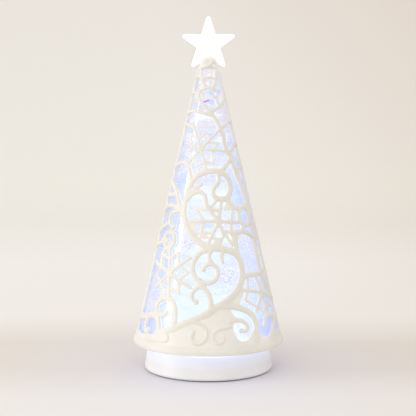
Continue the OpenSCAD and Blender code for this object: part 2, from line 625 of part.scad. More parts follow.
module floor_seal() {
    color(black) translate([0, 0, floor_top]) difference() {
        cylinder(r = r_at(ledge_z, d_in) - 0.3, h = seal_t);
        translate([0, 0, -1]) cylinder(r = r_at(ledge_z, d_in) - ledge_w, h = seal_t + 2);
    }
}

module fill_plug() {
    color(black) translate([plug_x, 0, floor_z]) {
        translate([0, 0, -1.4]) cylinder(r = plug_r + 1.4, h = 1.4);
        translate([0, 0, -0.1]) cylinder(r = plug_r - 0.05, h = floor_t + 0.1);
    }
}

module impeller_pin() {
    color(steel) translate([0, 0, floor_z + 0.8])
        cylinder(r = pin_r, h = hub_z + hub_h + 2.2 - floor_z - 0.8);
}

module impeller() {
    color(clear) difference() {
        union() {
            translate([0, 0, hub_z]) cylinder(r = impeller_r, h = 3);
            translate([0, 0, hub_z]) cylinder(r = 3.6, h = hub_h);
            for (t = [0:60:300]) rotate([0, 0, t]) translate([2.8, -0.6, hub_z + 2.9])
                cube([impeller_r - 4, 1.2, 4.6]);
        }
        translate([0, 0, hub_z - 1]) cylinder(r = pin_r + pin_clear, h = hub_h + 2);
        for (s = [-1, 1]) translate([s * mag_at, 0, hub_z - 1]) cylinder(r = mag_r + 0.05, h = mag_h + 1);
    }
}

module impeller_magnets() {
    color(steel) for (s = [-1, 1]) translate([s * mag_at, 0, hub_z]) cylinder(r = mag_r, h = mag_h);
}

module axle_clip() {
    color(steel) translate([0, 0, hub_z + hub_h + 0.5]) difference() {
        cylinder(r = 2.8, h = 0.8);
        translate([0, 0, -1]) cylinder(r = pin_r + 0.01, h = 3);
    }
}

module water_fill() {
    in_r = r_at(ledge_z, d_in) - ledge_w - 0.4;
    shelf = ledge_z + ledge_w + 0.6;
    color([0.6, 0.85, 1, 0.4]) difference() {
        rotate_extrude() polygon([[0, floor_top], [in_r, floor_top], [in_r, shelf - 2.6],
            [r_at(shelf, d_in) - 0.1, shelf], [r_at(water_top, d_in) - 0.1, water_top], [0, water_top]]);
        translate([0, 0, floor_top - 1]) cylinder(r = impeller_r + 1.5, h = hub_z + hub_h + 4 - floor_top);
        translate([plug_x, 0, floor_top - 1]) cylinder(r = plug_r + 0.5, h = 1.6);
    }
}

// shell and star
module rim_band() {
    s1 = slant - band_h;
    pts = [for (q = [[slant, 0], [s1, -0.8], [s1, -lattice_t], [slant, -lattice_t]])
        let (p = on_cone(90, q[0], q[1])) [p[0], p[2]]];
    edge = pts[0][0];
    rotate_extrude($fn = 64) polygon([[edge - 1.3, lat_z], [edge - 1.3, lat_z - lip_h],
        [edge + 0.1, lat_z - lip_h], [edge + 0.7, lat_z - lip_h + 0.8], [edge + 0.6, lat_z + 1.6],
        [edge - 0.9, lat_z + 3.6], pts[1], pts[2], [r_at(lat_z, lattice_t), lat_z]]);
}

module dome() {
    hub = on_cone(90, slant * 0.156, 0);
    rotate_extrude($fn = 32) polygon(concat([[r_at(hub[2], 0), hub[2]]],
        [for (a = [alpha:(90 - alpha) / 5:90.1]) [max(dome_r * cos(a), 2.6), dome_z + dome_r * sin(a)]],
        [[2.6, dome_z]],
        [for (a = [90 - alpha:-(90 - 2 * alpha) / 4:alpha - 0.1]) [max((dome_r - lattice_t) * cos(a), 2.6),
            dome_z + (dome_r - lattice_t) * sin(a)]],
        [[r_at(hub[2], lattice_t), hub[2]]]));
}

// one moulded half: the drawing, the band, the dome and a rib along each seam
module lattice_half(back) {
    intersection() {
        union() {
            rim_band();
            dome();
            for (i = [0:len(scrolls) - 1]) let (s = scrolls[i]) stroke(s[0], s[1], s[2], 1, back, i % 4);
            for (p = tips) hull() post(p, 3.6 * stroke_w, back, 6);
            for (g = rings)
                stroke(g[3], g[3], [for (a = [0:36:324]) [g[0] + g[2] * cos(a), g[1] + g[2] * sin(a)]],
                    1, back, 2.5, true);
            for (q = webs) web(q, back);
            for (s = raised) stroke(s[0], s[1], s[2], 1, back, 0.3, foot = 1.1);
            web(leaf, back, -0.1, 1.2);
            for (c = flakes) flake(c, back);
            for (s = [-1, 1]) stroke(7, 6, [for (v = [22:15:232]) [s * edge_pt(v)[0], v]], 1, back, 0.5);
        }
        translate([-100, back == 0 ? -100 : 0, 0]) cube([200, 100, apex_z]);
    }
}

module lattice_front() {
    color(ivory) lattice_half(0);
}

module lattice_rear() {
    color(ivory) lattice_half(180);
}

module star_topper() {
    centre = dome_top + star_r * 0.382 - 1.5;
    k = tip_r / sin(18);
    color([1, 1, 0.97]) difference() {
        union() {
            translate([0, star_t / 2, centre]) rotate([90, 0, 0]) linear_extrude(height = star_t)
                polygon([for (i = [0:4]) let (a = 90 + 72 * i) each concat(
                    [for (b = [-72:36:72])
                        (star_r - k) * [cos(a), sin(a)] + tip_r * [cos(a + b), sin(a + b)]],
                    [0.382 * star_r * [cos(a + 36), sin(a + 36)]])]);
            translate([0, 0, dome_top - d_out + 0.2]) cylinder(r = 2.4, h = centre - dome_top + d_out - 0.2);
        }
        difference() {
            union() {
                translate([0, 0, dome_z]) sphere(r = dome_r + 0.15);
                translate([0, 0, dome_z - 20])
                    cylinder(r1 = r_at(dome_z - 20, -0.15), r2 = r_at(dome_z, -0.15), h = 20);
            }
            cylinder(r = 2.4, h = dome_top + 5);
        }
    }
}

base_housing();
battery_tray();
bottom_cover();
battery_door();
rubber_feet();
cover_screws();
aa_cell_1();
aa_cell_2();
aa_cell_3();
battery_springs();
contact_plates();
switch_body();
switch_knob();
lead_wires();
motor_can();
motor_bracket();
bracket_screws();
motor_shaft();
magnet_carrier();
drive_magnets();
led_board();
board_screws();
leds();
clear_cone();
cone_screws();
chamber_floor();
floor_seal();
fill_plug();
impeller_pin();
impeller();
impeller_magnets();
axle_clip();
water_fill();
lattice_front();
lattice_rear();
star_topper();
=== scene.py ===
import bpy
import bmesh
import json
import math
import random
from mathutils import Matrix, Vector, noise


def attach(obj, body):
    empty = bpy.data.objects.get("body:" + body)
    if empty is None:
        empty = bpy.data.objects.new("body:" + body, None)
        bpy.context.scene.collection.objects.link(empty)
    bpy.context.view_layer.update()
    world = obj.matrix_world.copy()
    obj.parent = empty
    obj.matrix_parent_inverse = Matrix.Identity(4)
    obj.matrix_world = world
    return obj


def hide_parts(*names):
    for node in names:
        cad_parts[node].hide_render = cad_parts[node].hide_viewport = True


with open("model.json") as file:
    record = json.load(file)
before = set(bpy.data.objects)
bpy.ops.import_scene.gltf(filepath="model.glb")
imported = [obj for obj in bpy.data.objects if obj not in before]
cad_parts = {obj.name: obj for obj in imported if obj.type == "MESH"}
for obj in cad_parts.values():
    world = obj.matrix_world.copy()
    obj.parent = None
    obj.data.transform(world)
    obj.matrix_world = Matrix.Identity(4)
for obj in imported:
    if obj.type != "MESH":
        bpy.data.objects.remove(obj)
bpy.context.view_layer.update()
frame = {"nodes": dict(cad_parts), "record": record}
mm = 0.001

bpy.context.scene.view_settings.view_transform = "Standard"


# small helpers used by several pieces

def srgb(r, g, b):
    out = []
    for c in (r, g, b):
        c = c / 255.0
        out.append(c / 12.92 if c <= 0.04045 else ((c + 0.055) / 1.055) ** 2.4)
    return (out[0], out[1], out[2], 1.0)


def link(obj):
    bpy.context.collection.objects.link(obj)
    return obj


def meshPiece(name, verts, faces, material):
    mesh = bpy.data.meshes.new(name)
    mesh.from_pydata([(x * mm, y * mm, z * mm) for x, y, z in verts], [], faces)
    mesh.materials.append(material)
    for p in mesh.polygons:
        p.use_smooth = True
    bm = bmesh.new()
    bm.from_mesh(mesh)
    bmesh.ops.recalc_face_normals(bm, faces=bm.faces[:])
    bm.to_mesh(mesh)
    bm.free()
    return link(bpy.data.objects.new(name, mesh))


def addTurned(verts, faces, profile, steps, closed=True):
    # profile runs in (radius, height); closed joins its last point to its first
    start = len(verts)
    n = len(profile)
    for k in range(steps):
        a = 2 * math.pi * k / steps
        for r, z in profile:
            verts.append((r * math.sin(a), -r * math.cos(a), z))
    for k in range(steps):
        m = (k + 1) % steps
        for i in range(n if closed else n - 1):
            j = (i + 1) % n
            faces.append((start + k * n + i, start + m * n + i, start + m * n + j, start + k * n + j))


def lathe(name, profile, steps, material):
    # a turned skin whose profile starts and ends on the axis
    verts = []
    faces = []
    addTurned(verts, faces, profile, steps, False)
    piece = meshPiece(name, verts, faces, material)
    bm = bmesh.new()
    bm.from_mesh(piece.data)
    bmesh.ops.remove_doubles(bm, verts=bm.verts[:], dist=1e-6)
    bmesh.ops.recalc_face_normals(bm, faces=bm.faces[:])
    bm.to_mesh(piece.data)
    bm.free()
    return piece


def arc(cx, cz, r, a0, a1, steps):
    pts = []
    for i in range(steps + 1):
        a = math.radians(a0 + (a1 - a0) * i / steps)
        pts.append((cx + r * math.cos(a), cz + r * math.sin(a)))
    return pts


def joinRings(faces, start, count, n, closed=False):
    # skin of a tube of rings with n points each, with both ends shut unless it closes on itself
    for i in range(count if closed else count - 1):
        j = (i + 1) % count
        for k in range(n):
            q = (k + 1) % n
            faces.append((start + i * n + k, start + i * n + q, start + j * n + q, start + j * n + k))
    if not closed:
        faces.append(tuple(start + k for k in reversed(range(n))))
        faces.append(tuple(start + (count - 1) * n + k for k in range(n)))


def keepModifiers(piece):
    # apply what is on the piece, so that its own mesh holds the result
    deps = bpy.context.evaluated_depsgraph_get()
    done = bpy.data.meshes.new_from_object(piece.evaluated_get(deps))
    piece.modifiers.clear()
    old = piece.data
    piece.data = done
    bpy.data.meshes.remove(old)


def creaseShading(piece, degrees):
    bm = bmesh.new()
    bm.from_mesh(piece.data)
    for e in bm.edges:
        if len(e.link_faces) == 2:
            e.smooth = e.calc_face_angle(0) < math.radians(degrees)
    bm.to_mesh(piece.data)
    bm.free()


# finishes; the helpers hand on the socket that the next step needs
unlit = (0, 0, 0, 1)


def openFinish(mat):
    tree = mat.node_tree
    return tree, tree.nodes["Principled BSDF"], tree.nodes.new("ShaderNodeTexCoord")


def newFinish(name):
    mat = bpy.data.materials.new(name)
    mat.use_nodes = True
    return (mat,) + openFinish(mat)


def addNoise(tree, where, scale, detail=3, rough=0.5, stretch=None):
    n = tree.nodes.new("ShaderNodeTexNoise")
    n.inputs["Scale"].default_value = scale
    n.inputs["Detail"].default_value = detail
    n.inputs["Roughness"].default_value = rough
    if stretch:
        m = tree.nodes.new("ShaderNodeMapping")
        m.inputs["Scale"].default_value = stretch
        tree.links.new(where.outputs["Object"], m.inputs["Vector"])
        tree.links.new(m.outputs["Vector"], n.inputs["Vector"])
    else:
        tree.links.new(where.outputs["Object"], n.inputs["Vector"])
    return n.outputs["Fac"]


def addRamp(tree, source, stops):
    ramp = tree.nodes.new("ShaderNodeValToRGB")
    ramp.color_ramp.elements[0].position = stops[0][0]
    ramp.color_ramp.elements[0].color = stops[0][1]
    ramp.color_ramp.elements[1].position = stops[-1][0]
    ramp.color_ramp.elements[1].color = stops[-1][1]
    for place, colour in stops[1:-1]:
        e = ramp.color_ramp.elements.new(place)
        e.color = colour
    tree.links.new(source, ramp.inputs["Fac"])
    return ramp.outputs["Color"]


def addRange(tree, source, low, high, outLow, outHigh):
    m = tree.nodes.new("ShaderNodeMapRange")
    m.inputs["From Min"].default_value = low
    m.inputs["From Max"].default_value = high
    m.inputs["To Min"].default_value = outLow
    m.inputs["To Max"].default_value = outHigh
    tree.links.new(source, m.inputs["Value"])
    return m.outputs["Result"]


def axisOf(tree, vector, axis):
    split = tree.nodes.new("ShaderNodeSeparateXYZ")
    tree.links.new(vector, split.inputs["Vector"])
    return split.outputs[axis]


def vectorStep(tree, operation, source, other=None):
    step = tree.nodes.new("ShaderNodeVectorMath")
    step.operation = operation
    tree.links.new(source, step.inputs[0])
    if other is not None:
        step.inputs[1].default_value = other
    return step


def levelPlace(tree, where, scale=1):
    # the place on the piece with its height left out
    flat = tree.nodes.new("ShaderNodeMapping")
    flat.inputs["Scale"].default_value = (scale, scale, 0)
    tree.links.new(where.outputs["Object"], flat.inputs["Vector"])
    return flat.outputs["Vector"]


def sideShare(tree, where, most, start=0.45, end=0.95):
    # nothing at the front and back, most at the two sides
    way = vectorStep(tree, "NORMALIZE", levelPlace(tree, where))
    size = tree.nodes.new("ShaderNodeMath")
    size.operation = "ABSOLUTE"
    tree.links.new(axisOf(tree, way.outputs["Vector"], "X"), size.inputs[0])
    return addRange(tree, size.outputs["Value"], start, end, 0, most)


def mixTone(tree, share, low, high, blend="MIX"):
    # low and high are a socket or a fixed colour
    mix = tree.nodes.new("ShaderNodeMix")
    mix.data_type = "RGBA"
    mix.blend_type = blend
    tree.links.new(share, mix.inputs[0])
    for place, tone in ((6, low), (7, high)):
        if isinstance(tone, tuple):
            mix.inputs[place].default_value = tone
        else:
            tree.links.new(tone, mix.inputs[place])
    return mix.outputs[2]


def addBump(tree, shader, height, strength, distance):
    b = tree.nodes.new("ShaderNodeBump")
    b.inputs["Strength"].default_value = strength
    b.inputs["Distance"].default_value = distance
    tree.links.new(height, b.inputs["Height"])
    tree.links.new(b.outputs["Normal"], shader.inputs["Normal"])


def roughBy(tree, shader, grain, low, high):
    rough = addRange(tree, grain, 0.3, 0.7, low, high)
    tree.links.new(rough, shader.inputs["Roughness"])


def glowBy(tree, shader, tone, strength):
    tree.links.new(tone, shader.inputs["Emission Color"])
    shader.inputs["Emission Strength"].default_value = strength


def mouldedPlastic(name, dark, light, roughLow, roughHigh, grain, spec=0.4):
    # broad tone drift, fine mould grain in the gloss and the surface
    mat, tree, shader, where = newFinish(name)
    drift = addNoise(tree, where, 38, 3)
    tone = addRamp(tree, drift, [(0.35, dark), (0.65, light)])
    tree.links.new(tone, shader.inputs["Base Color"])
    fine = addNoise(tree, where, grain, 4, 0.6)
    roughBy(tree, shader, fine, roughLow, roughHigh)
    addBump(tree, shader, fine, 0.12, 0.0002)
    shader.inputs["Specular IOR Level"].default_value = spec
    return mat


def turnedMetal(name, dark, light, rough, stretch):
    mat, tree, shader, where = newFinish(name)
    lines = addNoise(tree, where, 260, 4, 0.6, stretch)
    tone = addRamp(tree, lines, [(0.3, dark), (0.7, light)])
    tree.links.new(tone, shader.inputs["Base Color"])
    roughBy(tree, shader, lines, rough, rough + 0.15)
    shader.inputs["Metallic"].default_value = 1.0
    addBump(tree, shader, lines, 0.1, 0.0001)
    return mat


def glowingPlastic(name, grain, dark, light, strength, roughLow, roughHigh):
    # it glows in the drifting tone that it has
    mat, tree, shader, where = newFinish(name)
    soft = addNoise(tree, where, grain, 2)
    tone = addRamp(tree, soft, [(0.3, dark), (0.7, light)])
    tree.links.new(tone, shader.inputs["Base Color"])
    glowBy(tree, shader, tone, strength)
    roughBy(tree, shader, soft, roughLow, roughHigh)
    return mat


def litIvory(sine, cosine, apex, deepest, nearest):
    # painted glow on the shell's inner walls, standing in for the light that they catch from inside:
    # brighter with depth below its outer face, bluer at the two sides
    mat = mouldedPlastic("ivory_shell", srgb(226, 222, 212), srgb(232, 228, 219), 0.42, 0.55, 900)
    tree, shader, where = openFinish(mat)
    shader.inputs["Subsurface Weight"].default_value = 0.35
    shader.inputs["Subsurface Radius"].default_value = (1.0, 0.95, 0.85)
    shader.inputs["Subsurface Scale"].default_value = 0.003
    out = vectorStep(tree, "LENGTH", levelPlace(tree, where, cosine))
    rise = tree.nodes.new("ShaderNodeMath")
    rise.operation = "MULTIPLY_ADD"
    rise.inputs[1].default_value = sine
    tree.links.new(axisOf(tree, where.outputs["Object"], "Z"), rise.inputs[0])
    tree.links.new(out.outputs["Value"], rise.inputs[2])
    face = apex * sine
    deep = addRange(tree, rise.outputs["Value"], (face - deepest) * mm, (face - nearest) * mm, 1, 0)
    glow = addRamp(tree, deep, [(0.0, unlit), (0.45, (0.12, 0.12, 0.13, 1)),
                                (1.0, (0.42, 0.45, 0.52, 1))])
    blue = addRamp(tree, deep, [(0.0, unlit), (0.45, (0.02, 0.03, 0.07, 1)),
                                (1.0, (0.1, 0.13, 0.3, 1))])
    share = sideShare(tree, where, 1, 0.75, 0.93)
    glowBy(tree, shader, mixTone(tree, share, glow, blue), 1.0)
    return mat


whiteBody = mouldedPlastic("white_base", srgb(234, 232, 229), srgb(239, 237, 234), 0.36, 0.48, 1100)


def litBase():
    # painted glow on the base's top edge, standing in for the light from inside that falls on it: bluish
    # down its wall, with a painted white highlight line at the front
    mat = mouldedPlastic("lit_base_white", srgb(236, 234, 231), srgb(241, 239, 236), 0.36, 0.48, 1100)
    tree, shader, where = openFinish(mat)
    up = addRange(tree, axisOf(tree, where.outputs["Object"], "Z"), 0.008, 0.024, 0, 1)
    sides = addRamp(tree, up, [(0.1, unlit), (0.5, (0.07, 0.09, 0.15, 1)),
                               (1.0, (0.19, 0.22, 0.34, 1))])
    middle = addRamp(tree, up, [(0.1, unlit), (0.5, (0.08, 0.1, 0.16, 1)),
                                (0.78, (0.18, 0.21, 0.32, 1)), (0.86, (0.6, 0.65, 0.7, 1))])
    share = sideShare(tree, where, 1, 0.15, 0.6)
    glowBy(tree, shader, mixTone(tree, share, middle, sides), 1.0)
    return mat


baseWhite = litBase()
blackRubber = mouldedPlastic("foot_rubber", srgb(30, 30, 32), srgb(44, 44, 46), 0.75, 0.9, 1500, 0.2)
darkPlastic = mouldedPlastic("switch_plastic", srgb(34, 34, 37), srgb(46, 46, 49), 0.45, 0.6, 1300, 0.35)
boardFilm = mouldedPlastic("board_film", srgb(228, 233, 226), srgb(240, 243, 238), 0.35, 0.5, 700)
redWire = mouldedPlastic("lead_wire", srgb(140, 30, 30), srgb(160, 42, 38), 0.4, 0.5, 900)
steel = turnedMetal("screw_steel", srgb(170, 172, 176), srgb(205, 206, 210), 0.25, (1, 1, 6))
brass = turnedMetal("contact_brass", srgb(186, 152, 82), srgb(214, 184, 112), 0.28, (6, 1, 1))
plated = turnedMetal("magnet_plate", srgb(176, 177, 180), srgb(200, 201, 204), 0.18, (1, 1, 1))
print("finishes ready")


# camera at the photograph's viewing angle
view = {"place": (0, -1310, 312.6), "aim": (0, 0, 139.5), "lens": 133.7, "sensor": 36, "shift": -0.001}


def makeCamera(v):
    cam = bpy.data.cameras.new("viewCamera")
    cam.lens = v["lens"]
    cam.sensor_width = v["sensor"]
    cam.shift_x = v["shift"]
    cam.dof.use_dof = False
    obj = link(bpy.data.objects.new("viewCamera", cam))
    obj.location = Vector(v["place"]) * mm
    way = (Vector(v["aim"]) - Vector(v["place"])).normalized()
    obj.rotation_euler = way.to_track_quat("-Z", "Y").to_euler()
    bpy.context.scene.camera = obj


makeCamera(view)
print("camera ready")


# openwork shell, drawn flat in millimetres: u across and v up from the rim at the front
shell = {
    "rim": 64, "rise": 274, "rimZ": 26, "wall": 3.0, "spread": 0.2273, "domeTip": 29.5, "band": 9,
    "voxel": 0.6, "soften": 2, "speck": 500, "plain": -0.9, "swell": 0.9,
    # heights over which strokes slim, how far their ends run out and close in, depths of the painted inner
    # glow
    "slimFrom": 195, "slimOver": 50, "ends": (0.32, 0.62), "glowDepth": (2.6, 0.6),
    # crowns of the smaller strokes from the outer face, and the foot of what is raised on the webs
    "crown": {"ring": -0.1, "hub": -0.2, "arm": -0.3, "bar": -0.6, "raised": 0.3, "seam": -0.4},
    "raisedFoot": -2, "seam": (5.4, 4.2), "seamRun": (21, 236, 5), "ringSteps": 32,
    # the rim's lip: radius and height
    "lip": [(62.9, 24.1), (63.8, 24.1), (64.3, 24.4), (64.55, 25.1), (64.5, 27.2), (64.2, 28.2),
            (63.6, 29.1), (62.9, 29.9)],
    "lipTop": 31.5, "lipIn": (62.9, 26.2), "rimSteps": 160,
    "hemReach": 0.156, "hemLift": 5.2, "hole": 2.6, "domeSteps": 96,
    # breadth at the start and at the end, then the points that the scroll runs through
    "scrolls": [
        (4.6, 5.2, [(-50, 19), (-34, 21), (-19, 26.5), (-5, 32), (7, 39), (20, 47.5), (28, 57), (31, 67),
                    (29.5, 77), (24, 84), (14, 87.5), (4, 88.5)]),
        (4.8, 4, [(6, 88.5), (-4, 90.5), (-12, 96.5), (-18, 104), (-21.5, 113), (-22.3, 122), (-20, 132),
                  (-15.5, 142.5), (-9, 149.5), (-1, 152), (7, 152.7), (14.5, 150.5), (19.5, 144.5),
                  (20.3, 137), (17.5, 131), (12.5, 129)]),
        (3.4, 3, [(14, 129), (7, 130), (4, 133.5), (5, 138.5), (8.5, 143), (9, 148), (7.5, 152)]),
        (3.8, 2.8, [(3, 88), (-7, 84), (-12.5, 77), (-13.5, 69.5), (-10, 62.5), (-3.5, 59), (3.5, 60),
                    (7.8, 65), (7.5, 71), (3.5, 74.5), (-1.5, 74), (-4.3, 70.5)]),
        (3, 2.4, [(3, 87), (0.5, 82), (1.5, 77.5), (5.5, 73.5)]),
        (3.4, 1.6, [(14, 87), (11.3, 82), (12.7, 75.5)]),
        (4, 2.4, [(0, 33), (1.8, 39), (1.5, 46), (-1.5, 52.5), (-6.5, 56), (-11.5, 54), (-14.3, 49.5),
                  (-13.5, 45.5), (-10.5, 43.5)]),
        (3.4, 3.4, [(-6.5, 55.5), (-8, 62)]),
        (4.4, 2.8, [(-31, 21), (-29.5, 32), (-30.5, 41), (-35, 46.3), (-42, 47.5), (-48.8, 45), (-51.3, 40),
                    (-48.5, 34.8), (-43.5, 33), (-39.5, 35)]),
        (4.6, 3.6, [(-47.8, 15), (-47.3, 24), (-49.5, 30.5), (-54.5, 33.8), (-61, 33.8), (-66, 30),
                    (-67.5, 25), (-65.5, 20.8), (-61.5, 21.6)]),
        (5, 4.6, [(-52, 34), (-60, 34.6), (-70, 34.2), (-80, 35.5), (-92, 39)]),
        (4.6, 4.6, [(9, 40), (20, 40), (30, 38), (38, 35), (43, 30), (45, 23), (45, 12)]),
        (3.4, 2.4, [(19, 27.5), (24, 28.3), (30, 27.8), (34.5, 25), (35, 21.5), (32, 19.5), (29, 20)]),
        (3.6, 2.2, [(75, 26), (72, 32.5), (67, 35), (61.5, 34.3), (58, 31), (57, 27)]),
        (4, 4, [(68, 14), (69.5, 21), (73, 29), (80, 37), (89, 41)]),
        (3.2, 2.6, [(-19.5, 129), (-14, 134), (-8, 135.3), (-3.5, 132.5), (-2.3, 127.5), (-1, 122.5),
                    (4, 116), (8.5, 111)]),
        (3.2, 2.4, [(-19, 133), (-12, 138), (-5.5, 142)]),
        (3.6, 4.4, [(10, 189), (14, 183), (15.5, 176), (18.5, 169.5), (22.5, 165.5), (25, 158.5), (29, 152),
                    (34, 144), (39, 135), (43.5, 125), (46.5, 115), (49.5, 104), (51.5, 92), (54, 80),
                    (60, 68), (70, 58), (84, 52)]),
        (3, 2.8, [(20, 168), (26, 175), (33, 179), (39, 180)]),
        (3, 2.8, [(27, 153), (34, 158), (40, 161), (46, 162)]),
        (3.2, 3.2, [(22.5, 165.5), (16, 157.5), (9, 152)]),
        (2.8, 3.4, [(-45, 160), (-32, 161.5), (-24, 161), (-19.5, 157.5), (-16.5, 150), (-15, 143)]),
        (3.4, 3.2, [(17, 130), (22, 124.5), (28, 122), (34.5, 124.5), (42, 127)]),
        (3, 3, [(20, 101), (28, 102.5), (36, 102.7), (44, 101.5), (52, 99)]),
        (3.2, 3.2, [(31, 64), (37, 66.6), (45, 67.6), (53, 69.5), (60, 73)]),
        (3, 3, [(34.5, 110), (33, 103)]),
        (3, 3.6, [(20, 103), (24.5, 95), (26.5, 83)]),
        (3.6, 3.4, [(-22.5, 116), (-26, 122), (-29.5, 129.5), (-33, 138), (-40, 145), (-50, 149)]),
        (3.2, 3.2, [(-28, 122), (-37, 126), (-47, 127), (-58, 125)]),
        (3, 3, [(-31, 136), (-39, 135.5), (-47, 137), (-54, 136)]),
        (2.8, 2.4, [(-28, 120.5), (-31.8, 120.2), (-35.7, 119.7), (-38.7, 117.4), (-39.9, 113.7),
                    (-38.7, 110), (-35.7, 107.7), (-32.4, 107.6)]),
        (3.4, 3.6, [(-38.5, 111.5), (-46, 110.5), (-56, 109), (-65, 107)]),
        (2.8, 2.8, [(-50, 98.5), (-45, 98), (-41, 96.5)]),
        (3, 3, [(-35, 107), (-37, 103)]),
        (3, 3, [(-42, 91), (-47, 85), (-49, 76)]),
        (3, 3, [(-44, 98), (-56, 96), (-69, 97)]),
        (3.6, 2.2, [(12.5, 186), (9, 192), (6, 197), (2, 202.5), (-3.5, 207), (-7.5, 212), (-9.2, 217),
                    (-7, 221.5), (-1, 223), (5, 221.5), (8, 218), (6.5, 215), (3.5, 216)]),
        (3, 2.6, [(4.5, 199), (-5, 202), (-13, 204), (-22, 204.5), (-30, 204)]),
        (3, 2.6, [(2, 202), (7.5, 205.5), (12, 209), (15.5, 214), (16.5, 220), (16, 229), (15, 240)]),
        (2.2, 2.2, [(6.8, 215), (8.5, 210.5), (11.5, 207.5)]),
        (3, 2.8, [(10.5, 188), (16, 192), (22, 196), (32, 199)]),
        (2.8, 2.8, [(-32, 197), (-24, 194.5), (-14, 190)]),
        (2.8, 4.4, [(-6.4, 242), (-6.8, 233), (-5, 228), (-3.6, 222)]),
        (2.6, 2.8, [(7.5, 242), (7.8, 233), (6.2, 228.5), (3.6, 221)]),
        (2.2, 2, [(-5.5, 231), (-1, 231.6), (3, 231.6), (6.5, 230)]),
        (1.8, 1.4, [(1, 231.6), (2.4, 234), (1.6, 236.5)]),
        (2.6, 2.6, [(-8.8, 217), (-14, 220), (-22, 221)]),
        (2.6, 2.6, [(-5.8, 232), (-11, 234), (-17, 234)]),
        (2.2, 2.2, [(2, 239.9), (5.5, 240.1), (9.5, 239.9)]),
    ],
    # the dome's rib: way round from the front and height, in degrees
    "rib": [(8, 66), (15, 50), (21, 24), (17, 11), (6, -2), (-20, -10), (-40, -16)],
    "ribHalf": 1.3, "ribHigh": 1.5, "ribSunk": 0.2, "ribSides": 8,
    "rings": [(36.4, 116.6, 7.6, 2.9), (-39, 96.5, 7, 3)],
    # solid webs: u, lower edge, upper edge
    "webs": [
        [(-50, 6, 19), (-34, 4, 21), (-19, 3, 26.5), (-5, 3, 32), (7, 3, 39), (13, 3, 40), (18, 3, 38.5),
         (20.5, 3, 35), (21.5, 4, 28), (22, 4, 15)],
        [(20, 26, 35.5), (22, 26.5, 33), (24, 27, 31), (26.5, 27.5, 29.8)],
        [(19.5, 40, 46), (22, 40, 50), (25, 39.5, 52.5), (27.5, 41, 55.5), (29.5, 47, 57), (32, 52, 60)],
        [(21.5, 4, 19.5), (23, 4, 17), (24, 4, 15.2), (26, 4, 12.8), (28, 4, 11.6), (31, 4, 11),
         (34, 4, 11.6)],
        [(33, 4, 11.3), (36, 4, 12.8), (38, 4, 15.2), (41, 5, 20), (45, 5, 25), (48, 6, 20), (52, 6, 16)],
        [(61, 8, 16.5), (65, 9, 20), (68, 9, 26), (72, 10, 25), (78, 11, 21.5)],
        [(-82, 13, 24), (-74, 10, 20), (-66, 9, 19.5), (-58, 7, 18), (-48, 5, 19)],
        [(13.5, 119, 121.5), (17, 120, 129), (20, 121, 129), (24, 121, 124)],
        [(20, 99, 102), (22, 92.5, 102.5), (24.5, 90, 103), (27, 95.5, 103), (30, 100.5, 103.5)],
        [(-10, 119.6, 121.4), (-6, 119, 122), (-1, 118.6, 123.5), (2, 117.5, 123.5)],
        [(-18, 105, 112), (-14, 101.5, 112.2), (-11, 101.5, 110)],
        [(4.5, 91, 94), (7.5, 90.5, 95.5), (10, 90.5, 94)],
    ],
    # snowflakes: centre, hub, breadth of arms and bars, each arm's way and reach, and the bars across
    "flakes": [
        (9, 110.5, 6.5, 3.6, 3, [(0, 19.5), (82, 17), (180, 24), (243, 20), (292, 12)],
         [[(-5, 112), (-11, 120.5)], [(2.5, 122.5), (8.5, 130)], [(3.5, 120.2), (10.5, 119.6)],
          [(22.2, 120.5), (20.8, 112)], [(-4.7, 109), (-6.3, 101)], [(-12, 101), (-6.5, 100.6), (2, 101)],
          [(14, 100.5), (9.5, 91)], [(15, 100), (21.5, 90.5)], [(5.2, 96.3), (10.5, 95.5)],
          [(20.6, 109.5), (20.6, 102.5)], [(14.5, 102.2), (21, 102.2)], [(-1, 97), (-7, 98)]]),
        (-37, 68, 7, 3.6, 2.8, [(30, 25), (90, 25), (150, 25), (210, 21), (272, 23), (330, 25)],
         [[(-26.6, 74), (-17.5, 68)], [(-17.5, 68), (-26.6, 62)], [(-26.6, 62), (-26, 50.5)],
          [(-27, 51.5), (-36, 55.5)], [(-37, 55.5), (-45.5, 51)], [(-45, 51), (-47.5, 62)],
          [(-47.5, 62), (-56, 68)], [(-56, 68), (-47.5, 74)], [(-47.5, 74), (-46.8, 85)],
          [(-46.8, 85), (-37, 80)], [(-37, 80), (-27.2, 85)], [(-27.2, 85), (-26.6, 74)]]),
        (55, 53, 7, 3.4, 2.8, [(0, 24), (60, 24), (120, 17), (178, 25), (240, 19), (300, 22)],
         [[(36.5, 66.5), (36.5, 54)], [(36.5, 53), (33.5, 45.5)], [(46, 40.5), (33.5, 45.5)],
          [(66.5, 53), (71, 62.5)], [(71, 62.5), (61, 63)], [(66.5, 53), (71, 43.5)],
          [(71, 43.5), (61, 43)], [(61, 63), (56, 70)], [(61, 43), (55, 36)], [(55, 36), (48, 41)]]),
        (-7, 171, 5, 2.6, 2.1, [(-3, 27), (45, 24), (107, 21), (157, 17), (222, 17), (287, 20)],
         [[(0, 176.5), (9, 176.5)], [(9, 176.5), (4, 170.5)], [(2.5, 170), (5, 158.5)],
          [(-1.5, 160.5), (5, 158.5)],
          [(-9.5, 178), (-2.5, 185.5)], [(-2.5, 185.5), (1.5, 179.5)], [(-11, 182), (-17.5, 184)],
          [(-17.5, 184), (-15.5, 175)], [(-14.5, 173.5), (-22, 168)], [(-22, 168), (-14.5, 164)],
          [(-13.5, 164.5), (-10, 157)], [(-10, 157), (-3.5, 160)]]),
    ],
    "tips": [(-4.3, 70.5), (-10.5, 43.5), (-39.3, 35.3), (-62, 22.3), (-41, 96.5), (29, 20), (57, 27)],
    "tip": 5,
    # raised lines on the solid webs
    "raised": [
        (2, 3.4, [(-13, 27.5), (-6.5, 25), (-2.4, 21), (-1.6, 15.8), (-4, 11), (-9, 9), (-13.4, 11),
